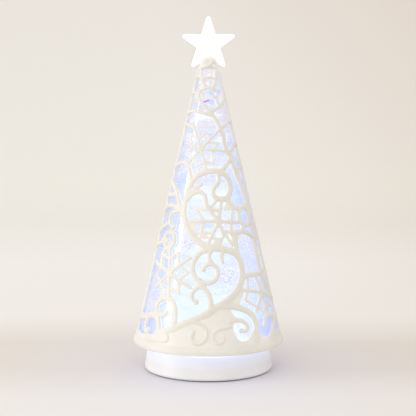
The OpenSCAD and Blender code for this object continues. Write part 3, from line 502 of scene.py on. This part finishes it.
                  (-14.8, 15), (-13, 18.4)]),
        (2, 3, [(20, 23.5), (14, 22), (8.4, 20.8), (4.2, 17.4), (3.8, 12.8), (6.6, 9.6), (10.4, 9.4),
                (12.8, 12), (12.2, 15.2)]),
    ],
    "leaf": [(-70, 14.2, 15.2), (-58, 12.6, 16.2), (-48, 11.2, 17.2), (-41, 10.4, 17.6), (-37.5, 10.8, 17.2),
             (-35.5, 12.6, 15.4)],
    "hem": (4.8, [(-8, 241), (-2, 241.4), (2.4, 241.2)]),
}
slope = math.hypot(shell["rim"], shell["rise"])
sideSin = shell["rim"] / slope
sideCos = shell["rise"] / slope
apexZ = shell["rimZ"] + shell["rise"]
domeRadius = shell["domeTip"] * sideSin / (1 - sideSin)
domeZ = apexZ - shell["domeTip"] - domeRadius
sideLean = math.degrees(math.asin(sideSin))
ivory = litIvory(sideSin, sideCos, apexZ, *shell["glowDepth"])


def wallRadius(z, depth):
    return (apexZ - z) * sideSin / sideCos - depth / sideCos


def onCone(u, v, h, turn):
    # wraps the flat drawing round the cone; nothing passes the seams at the two sides
    phi = math.atan2(u, slope - v) / shell["spread"]
    phi = max(-math.pi / 2, min(math.pi / 2, phi)) + turn
    s = math.hypot(u, slope - v)
    r = s * sideSin + h * sideCos
    return (r * math.sin(phi), -r * math.cos(phi), apexZ - s * sideCos + h * sideSin)


def throughPoints(pts, steps):
    out = []
    m = len(pts)
    for i in range(m - 1):
        a, b, c, d = pts[max(i - 1, 0)], pts[i], pts[i + 1], pts[min(i + 2, m - 1)]
        for k in range(steps):
            t = k / steps
            out.append(tuple(0.5 * (2 * b[j] + (c[j] - a[j]) * t
                                    + (2 * a[j] - 5 * b[j] + 4 * c[j] - d[j]) * t * t
                                    + (3 * b[j] - a[j] - 3 * c[j] + d[j]) * t ** 3) for j in (0, 1)))
    out.append(tuple(pts[-1]))
    return out


# a stroke's section: across, and up from its foot to its crown
roundSection = [(1, 0), (-1, 0), (-1, 0.5), (-0.9, 0.76), (-0.62, 0.93), (-0.25, 0.995), (0.25, 0.995),
                (0.62, 0.93), (0.9, 0.76), (1, 0.5)]
# a post's rings: share of its breadth, and height; then its sides
postRings = [(1, 0), (1, 0.55), (0.86, 0.8), (0.5, 0.97)]
postSides = 12


def addStroke(verts, faces, path, breadths, low, top, turn, closed=False):
    m = len(path)
    start = len(verts)
    for i, (u, v) in enumerate(path):
        if closed:
            a, b = path[(i - 1) % m], path[(i + 1) % m]
        else:
            a, b = path[max(i - 1, 0)], path[min(i + 1, m - 1)]
        tu, tv = b[0] - a[0], b[1] - a[1]
        size = math.hypot(tu, tv) or 1
        su, sv = -tv / size, tu / size
        w = breadths[i] / 2
        for across, up in roundSection:
            verts.append(onCone(u + su * w * across, v + sv * w * across, low + (top - low) * up, turn))
    joinRings(faces, start, m, len(roundSection), closed)


def strokeWithEnds(verts, faces, w0, w1, pts, low, top, turn, swell=0, steps=6):
    # the ends run out a little and close in, so that they come out round; strokes are slimmer near the top
    path = throughPoints(pts, steps)
    m = len(path)
    run, shut = shell["ends"]
    breadths = []
    for i in range(m):
        fuller = swell * max(0, min(1, (shell["slimFrom"] - path[i][1]) / shell["slimOver"]))
        breadths.append(w0 + (w1 - w0) * i / (m - 1) + fuller)
    first = Vector(path[0]) + (Vector(path[0]) - Vector(path[1])).normalized() * breadths[0] * run
    last = Vector(path[-1]) + (Vector(path[-1]) - Vector(path[-2])).normalized() * breadths[-1] * run
    path = [tuple(first)] + path + [tuple(last)]
    breadths = [breadths[0] * shut] + breadths + [breadths[-1] * shut]
    addStroke(verts, faces, path, breadths, low, top, turn)


def addWeb(verts, faces, rows, low, top, turn):
    between = 4
    fine = []
    for i in range(len(rows) - 1):
        for k in range(between):
            t = k / between
            fine.append(tuple(rows[i][j] + (rows[i + 1][j] - rows[i][j]) * t for j in range(3)))
    fine.append(rows[-1])
    start = len(verts)
    across = 6
    for u, bottom, upper in fine:
        for h in (low, top):
            for k in range(across + 1):
                verts.append(onCone(u, bottom + (upper - bottom) * k / across, h, turn))
    row = 2 * (across + 1)
    loop = list(range(across + 1)) + [across + 1 + k for k in reversed(range(across + 1))]
    for i in range(len(fine) - 1):
        for k in range(len(loop)):
            a, b = loop[k], loop[(k + 1) % len(loop)]
            c = start + i * row
            d = c + row
            faces.append((c + a, c + b, d + b, d + a))
    faces.append(tuple(start + k for k in reversed(loop)))
    faces.append(tuple(start + (len(fine) - 1) * row + k for k in loop))


def addPost(verts, faces, u, v, width, low, top, turn):
    # a round end on a curl, or the hub of a snowflake
    start = len(verts)
    for share, up in postRings:
        for k in range(postSides):
            a = 2 * math.pi * k / postSides
            verts.append(onCone(u + width / 2 * share * math.cos(a), v + width / 2 * share * math.sin(a),
                                low + (top - low) * up, turn))
    joinRings(faces, start, len(postRings), postSides)


def shellHalf(verts, faces, s, turn):
    low = -s["wall"]
    shallow = low + 0.2
    crown = s["crown"]
    steps = s["ringSteps"]
    for w0, w1, pts in s["scrolls"]:
        strokeWithEnds(verts, faces, w0, w1, pts, low, 0, turn, s["swell"])
    for cu, cv, r, w in s["rings"]:
        turns = [2 * math.pi * k / steps for k in range(steps)]
        path = [(cu + r * math.cos(a), cv + r * math.sin(a)) for a in turns]
        addStroke(verts, faces, path, [w + s["swell"]] * steps, low, crown["ring"], turn, True)
    for rows in s["webs"]:
        addWeb(verts, faces, rows, shallow, s["plain"], turn)
    for cu, cv, hub, armWide, barWide, arms, bars in s["flakes"]:
        addPost(verts, faces, cu, cv, hub, low, crown["hub"], turn)
        for way, reach in arms:
            a = math.radians(way)
            line = [(cu + d * math.cos(a), cv + d * math.sin(a)) for d in (1.5, reach * 0.5, reach)]
            strokeWithEnds(verts, faces, armWide, armWide * 0.92, line, low, crown["arm"], turn, 0, 4)
        for line in bars:
            strokeWithEnds(verts, faces, barWide, barWide, line, shallow, crown["bar"], turn, 0, 4)
    for cu, cv in s["tips"]:
        addPost(verts, faces, cu, cv, s["tip"], low, 0, turn)
    for w0, w1, pts in s["raised"]:
        strokeWithEnds(verts, faces, w0, w1, pts, s["raisedFoot"], crown["raised"], turn)
    addWeb(verts, faces, s["leaf"], s["raisedFoot"], 0, turn)
    w, pts = s["hem"]
    strokeWithEnds(verts, faces, w, w, pts, low, 0, turn)
    w0, w1 = s["seam"]
    for side in (-1, 1):
        edge = [(side * (slope - v) * math.tan(math.pi / 2 * s["spread"]), v) for v in range(*s["seamRun"])]
        strokeWithEnds(verts, faces, w0, w1, edge, shallow, crown["seam"], turn, 0, 2)


def addRib(verts, faces, s, turn):
    start = len(verts)
    path = throughPoints(s["rib"], 5)
    m = len(path)
    centres = []
    reach = []
    for lean, up in path:
        a = math.radians(lean) + turn
        e = math.radians(up)
        centres.append(Vector((math.cos(e) * math.sin(a), -math.cos(e) * math.cos(a), math.sin(e))))
        # lower down it lies on the cone
        reach.append(domeRadius / math.cos(min(0, e - math.asin(sideSin))) - s["ribSunk"])
    for i, out in enumerate(centres):
        along = centres[min(i + 1, m - 1)] - centres[max(i - 1, 0)]
        side = along.cross(out).normalized()
        c = Vector((0, 0, domeZ)) + out * reach[i]
        for k in range(s["ribSides"]):
            a = 2 * math.pi * k / s["ribSides"]
            verts.append(tuple(c + side * s["ribHalf"] * math.cos(a) + out * s["ribHigh"] * math.sin(a)))
    joinRings(faces, start, m, s["ribSides"])


def dropSpecks(piece, least):
    # the weld can leave tiny bubbles inside thick places
    bm = bmesh.new()
    bm.from_mesh(piece.data)
    left = set(bm.verts)
    while left:
        island = [left.pop()]
        for v in island:
            for e in v.link_edges:
                other = e.other_vert(v)
                if other in left:
                    left.discard(other)
                    island.append(other)
        if len(island) < least:
            bmesh.ops.delete(bm, geom=island, context="VERTS")
    bm.to_mesh(piece.data)
    bm.free()


def makeShell(s):
    verts = []
    faces = []
    shellHalf(verts, faces, s, 0)
    shellHalf(verts, faces, s, math.pi)
    plain = s["plain"] / sideCos
    bandZ = s["rimZ"] + s["band"]
    lipZ = s["lipTop"]
    inZ = s["lipIn"][1]
    band = [(wallRadius(lipZ, -plain), lipZ), (wallRadius(bandZ, -plain), bandZ),
            (wallRadius(bandZ, s["wall"]), bandZ), (wallRadius(inZ, s["wall"]), inZ)]
    addTurned(verts, faces, s["lip"] + band + [s["lipIn"]], s["rimSteps"])
    # dome, with its opening for the star's stalk
    inner = domeRadius - s["wall"]
    outside = arc(0, domeZ, domeRadius, sideLean, 72, 10)
    inside = arc(0, domeZ, inner, 60, sideLean, 8)
    hemZ = apexZ - slope * s["hemReach"] * sideCos + s["hemLift"]
    hole = [(s["hole"], domeZ + domeRadius - 0.1), (s["hole"], domeZ + inner - 0.4)]
    addTurned(verts, faces, [(wallRadius(hemZ, 0.3), hemZ)] + outside + hole + inside
              + [(wallRadius(hemZ, s["wall"]), hemZ)], s["domeSteps"])
    # rib that sweeps over the dome, front and back
    for turn in (0, math.pi):
        addRib(verts, faces, s, turn)
    piece = meshPiece("shell_openwork", verts, faces, ivory)
    remesh = piece.modifiers.new("weld", "REMESH")
    remesh.mode = "VOXEL"
    remesh.voxel_size = s["voxel"] * mm
    remesh.use_smooth_shade = True
    soft = piece.modifiers.new("soften", "SMOOTH")
    soft.factor = 0.5
    soft.iterations = s["soften"]
    keepModifiers(piece)
    dropSpecks(piece, s["speck"])
    for p in piece.data.polygons:
        p.use_smooth = True
    return piece


shellPiece = makeShell(shell)
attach(shellPiece, "lamp")
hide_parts("lattice_front", "lattice_rear")
print("shell", len(shellPiece.data.polygons), "faces")


# clear cone round the water
cone = {"outer": 3.5, "steps": 160, "frostTo": 49.9, "leakTo": 25.9, "crease": 30,
        # the floor and flange, radius and height, and the two heights where the wall meets the flange
        "foot": [(0.0, 24.02), (50.3, 24.02), (53.4, 24.4), (62.1, 25.55), (62.5, 25.7), (62.5, 25.85),
                 (62.2, 25.97)],
        "seat": (25.97, 25.98),
        "heights": (30, 34, 38, 42, 46, 50, 65, 80, 100, 120, 140, 160, 180, 200, 215, 230, 245)}


def clearFinish():
    mat, tree, shader, where = newFinish("clear_cone_plastic")
    shader.inputs["Transmission Weight"].default_value = 1.0
    shader.inputs["IOR"].default_value = 1.42
    wave = addNoise(tree, where, 45, 2)
    tint = addRamp(tree, wave, [(0.3, srgb(244, 248, 255)), (0.7, srgb(252, 253, 255))])
    tree.links.new(tint, shader.inputs["Base Color"])
    roughBy(tree, shader, wave, 0.0, 0.03)
    shader.inputs["Coat Weight"].default_value = 0.5
    shader.inputs["Coat Roughness"].default_value = 0.08
    return mat


clearPlastic = clearFinish()


def frostFinish():
    # frosted foot of the cone, lit from inside: whitest at the bottom
    mat, tree, shader, where = newFinish("frosted_cone_foot")
    up = addRange(tree, axisOf(tree, where.outputs["Object"], "Z"), 0.024, 0.05, 0, 1)
    tone = addRamp(tree, up, [(0.0, srgb(248, 252, 255)), (0.35, srgb(240, 252, 255)),
                              (0.6, srgb(226, 236, 255)), (1.0, srgb(236, 250, 255))])
    cloud = addNoise(tree, where, 130, 3, 0.6)
    share = addRange(tree, cloud, 0.44, 0.58, 0, 0.85)
    tone = mixTone(tree, share, tone, srgb(206, 217, 253))
    tone = mixTone(tree, sideShare(tree, where, 0.95, 0.5, 0.88), tone, srgb(172, 180, 240))
    glowBy(tree, shader, tone, 0.8)
    shader.inputs["Base Color"].default_value = (0.25, 0.28, 0.36, 1)
    fine = addNoise(tree, where, 900, 3)
    roughBy(tree, shader, fine, 0.35, 0.5)
    addBump(tree, shader, fine, 0.1, 0.0002)
    return mat


frostedFoot = frostFinish()


def leakFinish():
    # underside of the flange: light from the base, white by its wall and bluer outwards
    mat, tree, shader, where = newFinish("flange_leak")
    out = vectorStep(tree, "LENGTH", levelPlace(tree, where))
    place = addRange(tree, out.outputs["Value"], 0.05, 0.0625, 0, 1)
    tone = addRamp(tree, place, [(0.2, (0.82, 0.89, 1.0, 1)), (0.32, (0.4, 0.46, 0.75, 1)),
                                 (0.6, (0.18, 0.2, 0.42, 1)), (1.0, (0.1, 0.11, 0.25, 1))])
    glowBy(tree, shader, tone, 1.2)
    shader.inputs["Base Color"].default_value = (0.3, 0.32, 0.38, 1)
    roughBy(tree, shader, addNoise(tree, where, 120, 2), 0.35, 0.5)
    return mat


flangeLeak = leakFinish()


def makeCone(c):
    # water and plastic bend light alike, so the wall shows only its outer face
    below, above = c["seat"]
    profile = c["foot"] + [(wallRadius(below, c["outer"]), above)]
    profile += [(wallRadius(z, c["outer"]), z) for z in c["heights"]]
    profile += arc(0, domeZ, domeRadius - c["outer"], sideLean, 90, 12)
    piece = lathe("water_cone", profile, c["steps"], clearPlastic)
    for finish in (frostedFoot, flangeLeak):
        piece.data.materials.append(finish)
    for p in piece.data.polygons:
        if p.center.z < c["leakTo"] * mm:
            p.material_index = 2
        elif p.center.z < c["frostTo"] * mm:
            p.material_index = 1
    return piece


conePiece = makeCone(cone)
creaseShading(conePiece, cone["crease"])
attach(conePiece, "lamp")
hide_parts("clear_cone")
print("clear cone ready")


# the water with the light in it, and the flakes that drift near its wall
water = {"inset": 6.4, "topInset": 4.6, "low": 40, "slimFrom": 200, "rows": 40, "steps": 120,
         "flakes": 1400, "seed": 12,
         # the flakes' heights, depth below the shell's face, size and tilt
         "flakeRise": (56, 206), "flakeInset": (5.5, 6.1), "flakeSize": (0.35, 0.75), "flakeTilt": 0.25,
         # the clouds that they gather in, across and up, and how thin these may be; then the mix of tones
         "cloudAcross": 2.2, "cloudUp": 26, "cloudLeast": (-0.45, 0.3), "flakeMix": (0, 0, 1, 2),
         # the long glint: x, height, length, breadth and lean
         "glint": (-1.5, 231.6, 6, 1.1, 22), "glintInset": 4.3, "glintTone": 3,
         # where fine glitter gathers: place and size
         "puffs": [((17, -40, 88), 13), ((32, -19, 115), 11), ((-18, -33, 114), 11), ((-36, -20, 108), 10)]}


def waterFinish(w):
    mat, tree, shader, where = newFinish("lit_water")
    height = axisOf(tree, where.outputs["Object"], "Z")
    # swirls run round the cone, so they are stretched level
    swirl = addNoise(tree, where, 30, 5, 0.6, (0.7, 0.7, 3.4))
    base = addRamp(tree, swirl, [(0.32, srgb(208, 219, 253)), (0.44, srgb(223, 233, 255)),
                                 (0.54, srgb(238, 246, 255)), (0.66, srgb(253, 254, 255))])
    low = addRange(tree, height, 0.05, 0.15, 0.8, 0.0)
    tone = mixTone(tree, low, base, srgb(240, 253, 255))
    tone = mixTone(tree, sideShare(tree, where, 0.75), tone, srgb(194, 211, 255))
    # clouds of fine glitter, pale violet with darker grains
    cloud = addNoise(tree, where, 17, 2, 0.5, (1.0, 1.0, 1.6))
    grain = addNoise(tree, where, 620, 2, 0.7, (1.0, 1.0, 1.5))
    glitter = addRamp(tree, grain, [(0.34, srgb(186, 174, 206)), (0.44, srgb(230, 224, 240)),
                                    (0.53, srgb(243, 241, 250)), (0.6, srgb(255, 255, 255))])
    haze = addRange(tree, cloud, 0.5, 0.64, 0.05, 0.7)
    tone = mixTone(tree, haze, tone, glitter)
    for place, size in w["puffs"]:
        far = vectorStep(tree, "DISTANCE", where.outputs["Object"], Vector(place) * mm)
        near = addRange(tree, far.outputs["Value"], 0.35 * size * mm, size * mm, 0.85, 0)
        tone = mixTone(tree, near, tone, glitter)
    # near the top the swirls come out in thin level streaks, warm and white
    streak = addNoise(tree, where, 60, 4, 0.6, (0.7, 0.7, 3))
    warm = addRamp(tree, streak, [(0.4, srgb(204, 214, 252)), (0.45, srgb(240, 240, 248)),
                                  (0.48, srgb(229, 216, 212)), (0.57, srgb(238, 231, 227)),
                                  (0.63, srgb(252, 253, 255))])
    high = addRange(tree, height, 0.16, 0.225, 0.0, 0.9)
    tone = mixTone(tree, high, tone, warm)
    glowBy(tree, shader, tone, 0.92)
    shader.inputs["Base Color"].default_value = (0.1, 0.12, 0.17, 1)
    roughBy(tree, shader, swirl, 0.2, 0.4)
    return mat


# the flakes glow in their own tone: painted glow, standing in for the light of the water round them
def flakeFinish(name, dark, light):
    mat, tree, shader, where = newFinish(name)
    tone = addNoise(tree, where, 400, 2)
    ramp = addRamp(tree, tone, [(0.35, dark), (0.65, light)])
    tree.links.new(ramp, shader.inputs["Base Color"])
    glowBy(tree, shader, ramp, 0.6)
    shader.inputs["Metallic"].default_value = 0.6
    roughBy(tree, shader, tone, 0.15, 0.35)
    return mat


litWater = waterFinish(water)
flakeTones = [flakeFinish("flake_white", srgb(235, 235, 250), srgb(255, 255, 255)),
              flakeFinish("flake_pink", srgb(205, 170, 205), srgb(225, 195, 225)),
              flakeFinish("flake_blue", srgb(182, 192, 240), srgb(205, 213, 250)),
              flakeFinish("flake_magenta", srgb(170, 60, 175), srgb(190, 90, 195))]


def makeWater(w):
    profile = [(0.0, w["low"])]
    for k in range(w["rows"] + 1):
        z = w["low"] + (domeZ - w["low"]) * k / w["rows"]
        slim = max(0, (z - w["slimFrom"]) / (domeZ - w["slimFrom"]))
        profile.append((wallRadius(z, w["inset"] + (w["topInset"] - w["inset"]) * slim), z))
    profile += arc(0, domeZ, domeRadius - w["topInset"], sideLean + 5, 90, 6)
    return lathe("lit_water_body", profile, w["steps"], litWater)


def makeFlakes(w):
    rand = random.Random(w["seed"])
    verts = []
    faces = []
    tones = []
    low, high = w["flakeRise"]
    most = w["flakeTilt"]
    for k in range(w["flakes"]):
        z = low + (high - low) * rand.random() ** 1.2
        a = rand.uniform(0, 2 * math.pi)
        spot = Vector((math.sin(a) * w["cloudAcross"], math.cos(a) * w["cloudAcross"], z / w["cloudUp"]))
        if noise.noise(spot) < rand.uniform(*w["cloudLeast"]):
            continue
        r = wallRadius(z, rand.uniform(*w["flakeInset"]))
        c = Vector((r * math.sin(a), -r * math.cos(a), z))
        tilt = Vector([rand.uniform(-most, most) for n in range(3)])
        out = (Vector((math.sin(a), -math.cos(a), 0.2)) + tilt).normalized()
        side = out.orthogonal().normalized()
        up = out.cross(side)
        size = rand.uniform(*w["flakeSize"])
        start = len(verts)
        for n in range(6):
            t = math.pi * n / 3
            verts.append(tuple(c + side * size * math.cos(t) + up * size * math.sin(t)))
        faces.append(tuple(range(start, start + 6)))
        tones.append(rand.choice(w["flakeMix"]))
    x, z, long, broad, lean = w["glint"]
    along = Vector((math.cos(math.radians(lean)), 0, math.sin(math.radians(lean))))
    across = Vector((-along.z, 0.2, along.x)).normalized()
    c = Vector((x, -wallRadius(z, w["glintInset"]), z))
    start = len(verts)
    for a, b in ((-1, 0), (-0.5, -1), (0.6, -1), (1, 0), (0.5, 1), (-0.6, 1)):
        verts.append(tuple(c + along * a * long / 2 + across * b * broad / 2))
    faces.append(tuple(range(start, start + 6)))
    tones.append(w["glintTone"])
    mesh = bpy.data.meshes.new("drifting_flakes")
    mesh.from_pydata([(x * mm, y * mm, z * mm) for x, y, z in verts], [], faces)
    for t in flakeTones:
        mesh.materials.append(t)
    for p, t in zip(mesh.polygons, tones):
        p.material_index = t
    return link(bpy.data.objects.new("drifting_flakes", mesh))


waterPiece = makeWater(water)
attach(waterPiece, "lamp")
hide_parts("water_fill")
flakePiece = makeFlakes(water)
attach(flakePiece, "lamp")
print("water ready", len(flakePiece.data.polygons), "flakes")


# star on top
star = {"reach": 26.2, "waist": 0.382, "tip": 1.5, "thick": 7.0, "edge": 0.9, "ridge": 0.8,
        "sink": 1.51, "stalk": 2.35, "stalkDown": 3.2, "stalkSides": 24, "crease": 25}
starZ = domeZ + domeRadius + star["reach"] * star["waist"] - star["sink"]
litStar = glowingPlastic("lit_star", 60, srgb(248, 250, 255), srgb(255, 255, 255), 1.2, 0.3, 0.45)


def starOutline(s, inset):
    k = s["tip"] / math.sin(math.radians(18))
    pts = []
    reach = s["reach"] - k
    for i in range(5):
        a = math.radians(90 + 72 * i)
        for b in range(-72, 73, 18):
            t = a + math.radians(b)
            r = max(s["tip"] - inset, 0.35)
            pts.append((reach * math.cos(a) + r * math.cos(t), reach * math.sin(a) + r * math.sin(t)))
        n = a + math.radians(36)
        w = s["waist"] * s["reach"] - inset / math.cos(math.radians(36))
        pts.append((w * math.cos(n), w * math.sin(n)))
    return pts


def makeStar(s):
    # rounded edge in three steps, then each face rises in ridges from the notches to the middle
    half = s["thick"] / 2
    verts = []
    faces = []
    levels = [(s["edge"], half - s["ridge"]), (s["edge"] * 0.3, half - s["ridge"] - s["edge"] * 0.3),
              (0, half - s["ridge"] - s["edge"])]
    rings = [(i, -y) for i, y in levels] + [(i, y) for i, y in reversed(levels)]
    n = len(starOutline(s, 0))
    for inset, y in rings:
        for x, z in starOutline(s, inset):
            verts.append((x, y, starZ + z))
    for k in range(len(rings) - 1):
        for i in range(n):
            j = (i + 1) % n
            faces.append((k * n + i, k * n + j, (k + 1) * n + j, (k + 1) * n + i))
    for y, ring in ((-half, 0), (half, len(rings) - 1)):
        c = len(verts)
        verts.append((0, y, starZ))
        for i in range(n):
            j = (i + 1) % n
            faces.append((ring * n + i, ring * n + j, c))
    # short stalk down through the dome
    start = len(verts)
    for z in (domeZ + domeRadius - s["stalkDown"], starZ - s["reach"] * s["waist"] * 0.5):
        for i in range(s["stalkSides"]):
            a = 2 * math.pi * i / s["stalkSides"]
            verts.append((s["stalk"] * math.cos(a), s["stalk"] * math.sin(a), z))
    joinRings(faces, start, 2, s["stalkSides"])
    return meshPiece("star_lit", verts, faces, litStar)


starPiece = makeStar(star)
creaseShading(starPiece, star["crease"])
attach(starPiece, "lamp")
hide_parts("star_topper")
print("star ready")


# finishes of the pieces that stay as the solids have them
def cellFinish():
    mat, tree, shader, where = newFinish("cell_wrap")
    length = addRange(tree, axisOf(tree, where.outputs["Object"], "Y"), -0.026, 0.026, 0, 1)
    tone = addRamp(tree, length,
                   [(0.0, srgb(60, 84, 76)), (0.3, srgb(52, 76, 70)), (0.34, srgb(176, 150, 88)),
                    (1.0, srgb(190, 164, 98))])
    tree.links.new(tone, shader.inputs["Base Color"])
    roughBy(tree, shader, addNoise(tree, where, 500, 3), 0.22, 0.34)
    return mat


cellWrap = cellFinish()
ledLens = glowingPlastic("led_lens", 200, srgb(226, 238, 255), srgb(250, 252, 255), 1.5, 0.1, 0.2)
bySlot = {
    "ivory_plastic": ivory, "white_plastic": whiteBody, "clear_plastic": clearPlastic, "water": litWater,
    "star_plastic": litStar, "black_rubber": blackRubber, "steel": steel, "brass": brass,
    "black_plastic": darkPlastic, "cell_wrap": cellWrap, "board": boardFilm, "led_lens": ledLens,
    "wire": redWire, "magnet": plated,
}
slotOf = {p["node"]: p["material_slot"] for p in frame["record"]["subparts"]}
for name, obj in frame["nodes"].items():
    finish = baseWhite if name == "base_housing" else bySlot[slotOf[name]]
    if not obj.material_slots:
        obj.data.materials.append(finish)
    for s in obj.material_slots:
        s.material = finish
print("solids dressed")


# pale seamless floor and backdrop
sweep = {"half": 2600, "front": -2600, "back": 900, "bend": 500, "top": 2200,
         # painted shade from front to back, between the two places, darkest in a band across the floor
         # behind and beside the lamp
         "from": -150, "to": 1400,
         "tones": [(0.03, srgb(238, 233, 228)), (0.09, srgb(231, 223, 214)), (0.16, srgb(230, 223, 214)),
                   (0.24, srgb(244, 240, 235)), (0.45, srgb(249, 246, 242)), (0.8, srgb(246, 243, 235)),
                   (0.97, srgb(241, 237, 231))],
         # the darker, warmer painted shade up at the right, and the painted pool of cool light round the
         # lamp's foot
         "corner": (1, 0, 0.6), "warm": srgb(229, 218, 207), "warmShare": (0.08, 0.55, 0, 0.7),
         "cool": (0.98, 1.0, 1.09, 1), "coolShare": (0.06, 0.2, 1, 0)}


def paperFinish(s):
    # painted shade in tones from the floor to the wall, with a darker band across the floor, and a faint
    # fibre in the gloss
    mat, tree, shader, where = newFinish("sweep_paper")
    back = addRange(tree, axisOf(tree, where.outputs["Object"], "Y"), s["from"] * mm, s["to"] * mm, 0, 1)
    tone = addRamp(tree, back, s["tones"])
    # painted shade: darker and warmer towards the right and up, away from the key lamp
    corner = vectorStep(tree, "DOT_PRODUCT", where.outputs["Object"], s["corner"])
    share = addRange(tree, corner.outputs["Value"], *s["warmShare"])
    tone = mixTone(tree, share, tone, s["warm"])
    # a painted pool of the lamp's cool light round its foot
    far = vectorStep(tree, "LENGTH", where.outputs["Object"])
    near = addRange(tree, far.outputs["Value"], *s["coolShare"])
    tone = mixTone(tree, near, tone, s["cool"], "MULTIPLY")
    tree.links.new(tone, shader.inputs["Base Color"])
    roughBy(tree, shader, addNoise(tree, where, 300, 3), 0.85, 0.95)
    shader.inputs["Specular IOR Level"].default_value = 0.1
    return mat


def makeSweep(s):
    line = [(s["front"] + (s["back"] - s["front"]) * k / 12, 0) for k in range(13)]
    for k in range(1, 17):
        a = math.pi / 2 * k / 16
        line.append((s["back"] + s["bend"] * math.sin(a), s["bend"] * (1 - math.cos(a))))
    line.append((s["back"] + s["bend"], s["top"]))
    verts = []
    faces = []
    for y, z in line:
        verts.append((-s["half"], y, z))
        verts.append((s["half"], y, z))
    for k in range(len(line) - 1):
        faces.append((2 * k, 2 * k + 1, 2 * k + 3, 2 * k + 2))
    return meshPiece("sweep", verts, faces, paperFinish(s))


sweepPiece = makeSweep(sweep)


# soft light, stronger from the left
lights = {
    "key": {"place": (-1300, -300, 240), "wide": 320, "tall": 760, "watts": 1.43, "spread": 90,
            "colour": (0.95, 0.975, 1.0)},
    "front": {"place": (-300, -1500, 1300), "wide": 1200, "tall": 900, "watts": 3.0, "spread": 180,
              "colour": (1.0, 0.985, 0.97)},
    "world": {"colour": (1.0, 1.0, 1.0), "strength": 0.94},
    "aim": (0, 0, 130),
}


def makeLights(l):
    for name in ("key", "front"):
        d = l[name]
        lamp = bpy.data.lights.new(name, "AREA")
        lamp.shape = "RECTANGLE"
        lamp.size = d["wide"] * mm
        lamp.size_y = d["tall"] * mm
        lamp.energy = d["watts"]
        lamp.spread = math.radians(d["spread"])
        lamp.color = d["colour"]
        obj = link(bpy.data.objects.new(name, lamp))
        obj.location = Vector(d["place"]) * mm
        obj.visible_camera = False  # it would show in the side views
        way = Vector(l["aim"]) * mm - obj.location
        obj.rotation_euler = way.to_track_quat("-Z", "Y").to_euler()
    world = bpy.data.worlds.new("studio")
    world.use_nodes = True
    back = world.node_tree.nodes["Background"]
    back.inputs["Color"].default_value = l["world"]["colour"] + (1.0,)
    back.inputs["Strength"].default_value = l["world"]["strength"]
    bpy.context.scene.world = world


makeLights(lights)
print("stage ready")
